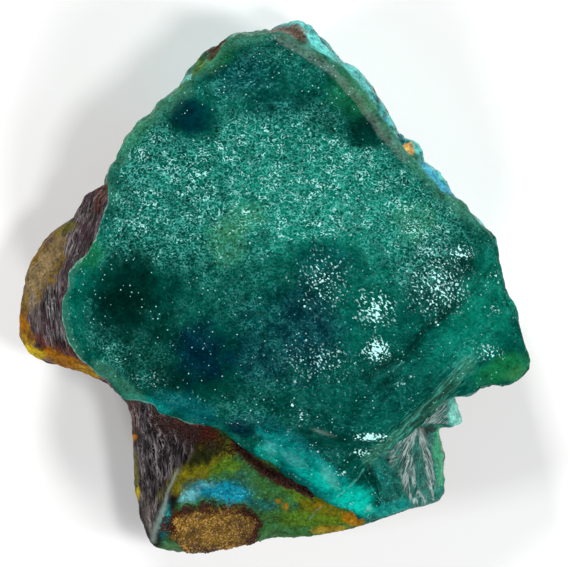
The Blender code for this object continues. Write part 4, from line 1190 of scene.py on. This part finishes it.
# %% Strewing a template
def rhombohedron(flatness):
    """Eight corners about the Z axis: two tips, and two rings of three that are turned by half a step."""
    turns = np.radians(60 * np.arange(6))
    ring = np.column_stack([np.cos(turns), np.sin(turns), np.where(np.arange(6) % 2, -1, 1) * flatness / 3])
    corners = np.vstack([[0, 0, flatness], ring, [0, 0, -flatness]])
    upper = [[0, 1 + k, 1 + (k + 1) % 6, 1 + (k + 2) % 6] for k in (0, 2, 4)]
    lower = [[7, 1 + (k + 2) % 6, 1 + (k + 1) % 6, 1 + k] for k in (1, 3, 5)]
    return corners, np.array(upper + lower)


def strewn(name, template, centres, axes, sizes, colours, rng):
    """Copies of a template as one mesh: each is spun about its own axis, scaled, and moved to its centre."""
    corners, faces = template
    count = len(centres)
    axes = axes / np.linalg.norm(axes, axis=1)[:, None]
    spin = rng.uniform(0, 2 * np.pi, count)
    side = np.cross(axes, np.column_stack([np.cos(spin), np.sin(spin), 0.3 * np.sin(3 * spin)]))
    side /= np.linalg.norm(side, axis=1)[:, None]
    frame_axes = np.stack([side, np.cross(axes, side), axes], axis=1)
    points = centres[:, None] + np.einsum("kc,nci->nki", corners, frame_axes) * sizes[:, None, None]
    all_faces = faces[None] + len(corners) * np.arange(count)[:, None, None]
    piece = new_mesh(name, points.reshape(-1, 3), all_faces.reshape(-1, faces.shape[1]).tolist())
    piece.data.shade_flat()
    add_attribute(piece, "colour", np.repeat(colours, len(corners), axis=0))
    stands_for_stone(piece)
    return piece


def face_slope(x, y, step=0.05):
    """The crust's normal, from how its height changes over a small step."""
    along_x = (face_height(x + step, y) - face_height(x - step, y)) / (2 * step)
    along_y = (face_height(x, y + step) - face_height(x, y - step)) / (2 * step)
    return np.column_stack([-along_x, -along_y, np.ones(len(x))])


# %% The druse
CRYSTAL_RADIUS = (0.10, 0.22)
CRYSTAL_FLATNESS, CRYSTAL_TILT = 0.26, 0.16  # height over width, and how far the crystals lean at random, as a slope
SPARSE, DENSE = 0.60, 0.30  # the step between crystals on the open crust, and in the knots
# Crystals painted white stand for highlights, most of all in the knots.
PAINTED_WHITE_OPEN, PAINTED_WHITE_KNOT = 0.08, 0.30  # the share of crystals that are white, in each
rng = np.random.default_rng(7)


def crystal_places(step, chance):
    """One place at random in each square of a grid, kept if it is well inside the crust's rim, and by a chance."""
    low, high = np.array(OUTLINE).min(axis=0), np.array(OUTLINE).max(axis=0)
    columns, rows = ((high - low) / step).astype(int)
    grid = np.stack(np.meshgrid(np.arange(columns), np.arange(rows), indexing="ij"), axis=-1).reshape(-1, 2)
    places = low + (grid + rng.uniform(0, 1, grid.shape)) * step
    edge_there = outline_radius(CRUST_EDGE, np.arctan2(places[:, 1], places[:, 0]))
    inside = np.hypot(*places.T) < edge_there - LIP_ROUNDING
    return places[inside & (rng.uniform(0, 1, len(places)) < chance(*places.T))]


open_places = crystal_places(SPARSE, lambda x, y: 0.07 + 0.7 * np.clip(druzy(x, y), 0, 1))
knot_places = crystal_places(DENSE, lambda x, y: np.clip(1.4 * knotted(x, y) - 0.1, 0, 1))
places = np.vstack([open_places, knot_places])
in_knot = np.arange(len(places)) >= len(open_places)
sugar_there = np.clip(druzy(*places.T), 0, 1)
crystal_size = rng.uniform(*CRYSTAL_RADIUS, len(places)) * np.where(in_knot, 0.75, 0.5 + 0.4 * sugar_there)
tops = face_height(*places.T)
axes = face_slope(*places.T) + rng.normal(0, CRYSTAL_TILT, (len(places), 3)) * (1, 1, 0)
centres = np.column_stack([places, tops - 0.01 * crystal_size])
# Painted highlights: a share of the crystals is blended towards white.
painted_white_share = np.where(in_knot, PAINTED_WHITE_KNOT, PAINTED_WHITE_OPEN)
frost_and_highlight = (rng.uniform(0, 1, len(places)) < painted_white_share) * rng.uniform(0.2, 0.8, len(places))
crystal_colour = blended(crust_colour(centres), WHITE_FROST_AND_HIGHLIGHT, frost_and_highlight)
druse = strewn("druse", rhombohedron(CRYSTAL_FLATNESS), centres, axes, crystal_size, crystal_colour, rng)
print(len(places), "crystals,", 12 * len(places), "triangles")

gem = waxy("druse_crystals", 0.45, (0.40, 1.0, 1.0))
fine = gem.noise(gem.place(), 0.2).ramped(0.3, 0.7)
gem.dress(druse, gem.own_colour(0.7 + 0.5 * fine), 0.10 + 0.10 * fine, gem.bumped(fine, 0.008))

# %% [markdown]
# ## The rusty grains
# The nodule at the bottom, the wedge beside it and the band above the pillar are granular: little rounded grains of
# limonite, packed together. An icosahedron is enough for each.

# %% Limonite grains
def icosahedron():
    """Twelve corners, one away from the middle, and twenty faces: the triples of neighbours that turn outwards."""
    golden = (1 + 5**0.5) / 2
    corners = [(0, a, b * golden) for a in (-1, 1) for b in (-1, 1)]
    corners = np.array(corners + [(z, x, y) for x, y, z in corners] + [(y, z, x) for x, y, z in corners], float)
    corners /= np.linalg.norm(corners[0])
    beside = np.linalg.norm(corners[:, None] - corners, axis=2) < 1.2  # an edge is 1.05 long
    triples = [(a, b, c) for a, b, c in product(range(12), repeat=3) if a < b and a < c and b != c]
    triples = [(a, b, c) for a, b, c in triples if beside[a, b] and beside[b, c] and beside[c, a]]
    return corners, np.array([triple for triple in triples if np.linalg.det(corners[list(triple)]) > 0])


RUST_BAND = [(-11.4, -12.9), (-9.6, -13.6), (-8.4, -14.2), (-6.6, -14.6), (-5.0, -15.0), (-3.9, -15.6)]
BAND_FADE, WEDGE_FADE = 0.8, 0.45  # over how far the grains thin out beside each, in millimetres
GRAINS_TO_A_SQUARE_MM, GRAIN_RADIUS = 60, (0.05, 0.12)
band = np.clip(1.9 - from_line(x, y, RUST_BAND)[0] / BAND_FADE, 0, 1) * on_flank
wedge = np.clip(1.6 - from_line(x, y, WEDGE_RIDGE)[0] / WEDGE_FADE, 0, 1) * on_flank
granular = np.clip(on_flank * smooth_step(1.0 - from_nodule, -0.03, 0.03) + 0.9 * band + 0.9 * wedge, 0, 1)


def scattered(weight, to_a_square_mm):
    """Random places on the skin: a quad by its area times a weight, then a share along each of its two sides."""
    a, b, c, d = (skin_points[quads[:, corner]] for corner in range(4))
    chance = weight[quads].mean(axis=1) * np.linalg.norm(np.cross(c - a, d - b), axis=1) / 2
    count = int(chance.sum() * to_a_square_mm)
    quad = rng.choice(len(quads), count, p=chance / chance.sum())
    u, v = rng.uniform(0, 1, (2, count, 1))
    near_side, far_side = (1 - u) * a[quad] + u * b[quad], (1 - u) * d[quad] + u * c[quad]
    return quads[quad, 0], (1 - v) * near_side + v * far_side


there, grain_centres = scattered(granular, GRAINS_TO_A_SQUARE_MM)
grain_size = rng.uniform(*GRAIN_RADIUS, len(there))
# Most grains are rusty, and a few are pale.
light = swell(grain_centres, [(1.0, 1.3, 52), (0.5, 0.45, 53)]) + rng.normal(0, 0.25, len(there))
light = smooth_step(light, -0.6, 0.6)
by_nodule = smooth_step(1.2 - from_nodule[there], 0, 0.1)
rusty = blended(MAROON, RUST, rng.uniform(0, 1, len(there)) ** 2.2 * (1 + 0.6 * by_nodule))
golden = blended(BROWN * 0.8, NODULE_GOLD, 0.1 + light)
golden = blended(golden, OCHRE, (rng.uniform(0, 1, len(there)) < 0.16) * 0.7)
# The nodule's core is golden, up to a ragged edge, and less so towards the lower right: painted shade on its underside.
above = smooth_step(grain_centres[:, 1] - NODULE[1], 0.0, 1.6)
ragged = 0.10 * noise(grain_centres, 0.9, 56) + rng.normal(0, 0.04, len(there))
core = smooth_step(0.92 - 0.12 * above - from_nodule[there] + ragged, -0.04, 0.08)
core *= 1 - 0.6 * smooth_step(grain_centres[:, 0] - 0.9 * (grain_centres[:, 1] + 24.2), -3.4, -1.6)
grain_colour = blended(rusty, golden, core)
# Each leans its own way, and sits a little above or below its neighbours.
grain_axes = base_normals[there] + rng.normal(0, 0.5, (len(there), 3))
grain_centres += base_normals[there] * rng.uniform(-0.05, 0.05, (len(there), 1))
grains = strewn("limonite_grains", icosahedron(), grain_centres, grain_axes, grain_size, grain_colour, rng)
print(len(there), "grains,", 20 * len(there), "triangles")

grains.data.shade_smooth()
iron = Finish("limonite_grains", {"Specular IOR Level": 0.35})
fine = iron.noise(iron.place(), 0.12, 3.0).ramped(0.3, 0.7)
iron.dress(grains, iron.own_colour(0.6 + 0.7 * fine), 0.5 - 0.2 * fine, iron.bumped(fine, 0.04))

# %% [markdown]
# ## The studio
# The stone lies on a plain white table. The large lamps stand well to the sides, so that a level surface doesn't
# mirror them and the green stays deep. A smaller one stands high above and makes the crystals flash. The camera looks
# straight down from far off, with a long lens.

# %% Table
TABLE_REACH = 1000.0  # from the middle to each side, in millimetres
floor = new_mesh("table", TABLE_REACH * np.array([(-1, -1, 0), (1, -1, 0), (1, 1, 0), (-1, 1, 0)]), [[0, 1, 2, 3]])
paint = Finish("white_table")
paint.dress(floor, (0.98, 0.98, 0.98, 1.0), 0.9, paint.bumped(paint.noise(paint.place(), 6.0), 0.01))

# %% Lamps
# The softboxes: turn about the stone and height, in degrees, width in metres, brightness, tint.
LAMPS = {
    "key": (105, 36, 0.12, 36.0, (1.0, 0.99, 0.97)),
    "left_fill": (195, 24, 0.10, 34.0, (0.97, 0.98, 1.0)),
    "right_fill": (-10, 30, 0.10, 32.0, (1.0, 1.0, 1.0)),
    "lower_fill": (-85, 32, 0.10, 28.0, (1.0, 1.0, 1.0)),
    "sparkle": (-25, 70, 0.08, 36.0, (1.0, 1.0, 1.0)),
}
LAMP_DISTANCE, LAMP_AIM = 0.5, 0.01  # how far off they stand, and how high up they aim, in metres
ROOM_LIGHT = 0.05


def lamp(name, turn, height, width, brightness, tint):
    """A square softbox that faces the stone. Its brightness is its surface's, where a lit sheet of paper is 1."""
    light = bpy.data.lights.new(name, "AREA")
    light.size = width
    light.energy = brightness * np.pi * width**2
    light.color = tint
    holder = bpy.data.objects.new(name, light)
    turn, height = np.radians(turn), np.radians(height)
    away = Vector((np.cos(turn) * np.cos(height), np.sin(turn) * np.cos(height), np.sin(height)))
    holder.location = away * LAMP_DISTANCE + Vector((0, 0, LAMP_AIM))
    holder.rotation_euler = away.to_track_quat("Z", "Y").to_euler()
    bpy.context.scene.collection.objects.link(holder)


for name, numbers in LAMPS.items():
    lamp(name, *numbers)
print(len(LAMPS), "softboxes,", LAMP_DISTANCE, "m away")

world = bpy.data.worlds.new("room")
bpy.context.scene.world = world
world.use_nodes = True
room = world.node_tree.nodes["Background"].inputs
room["Color"].default_value = (1, 1, 1, 1)
room["Strength"].default_value = ROOM_LIGHT
bpy.context.scene.view_settings.view_transform = "Standard"

# %% Camera
VIEW_MIDDLE, VIEW_WIDTH, VIEW_LEVEL = (1.05, 0.5), 57.0, 12.0  # millimetres
CAMERA_DISTANCE = 800.0

lens = bpy.data.cameras.new("camera")
lens.lens = lens.sensor_width * CAMERA_DISTANCE / VIEW_WIDTH
lens.clip_end = 10
camera = bpy.data.objects.new("camera", lens)
camera.location = (VIEW_MIDDLE[0] * MM, VIEW_MIDDLE[1] * MM, (CAMERA_DISTANCE + VIEW_LEVEL) * MM)
bpy.context.scene.collection.objects.link(camera)
bpy.context.scene.camera = camera
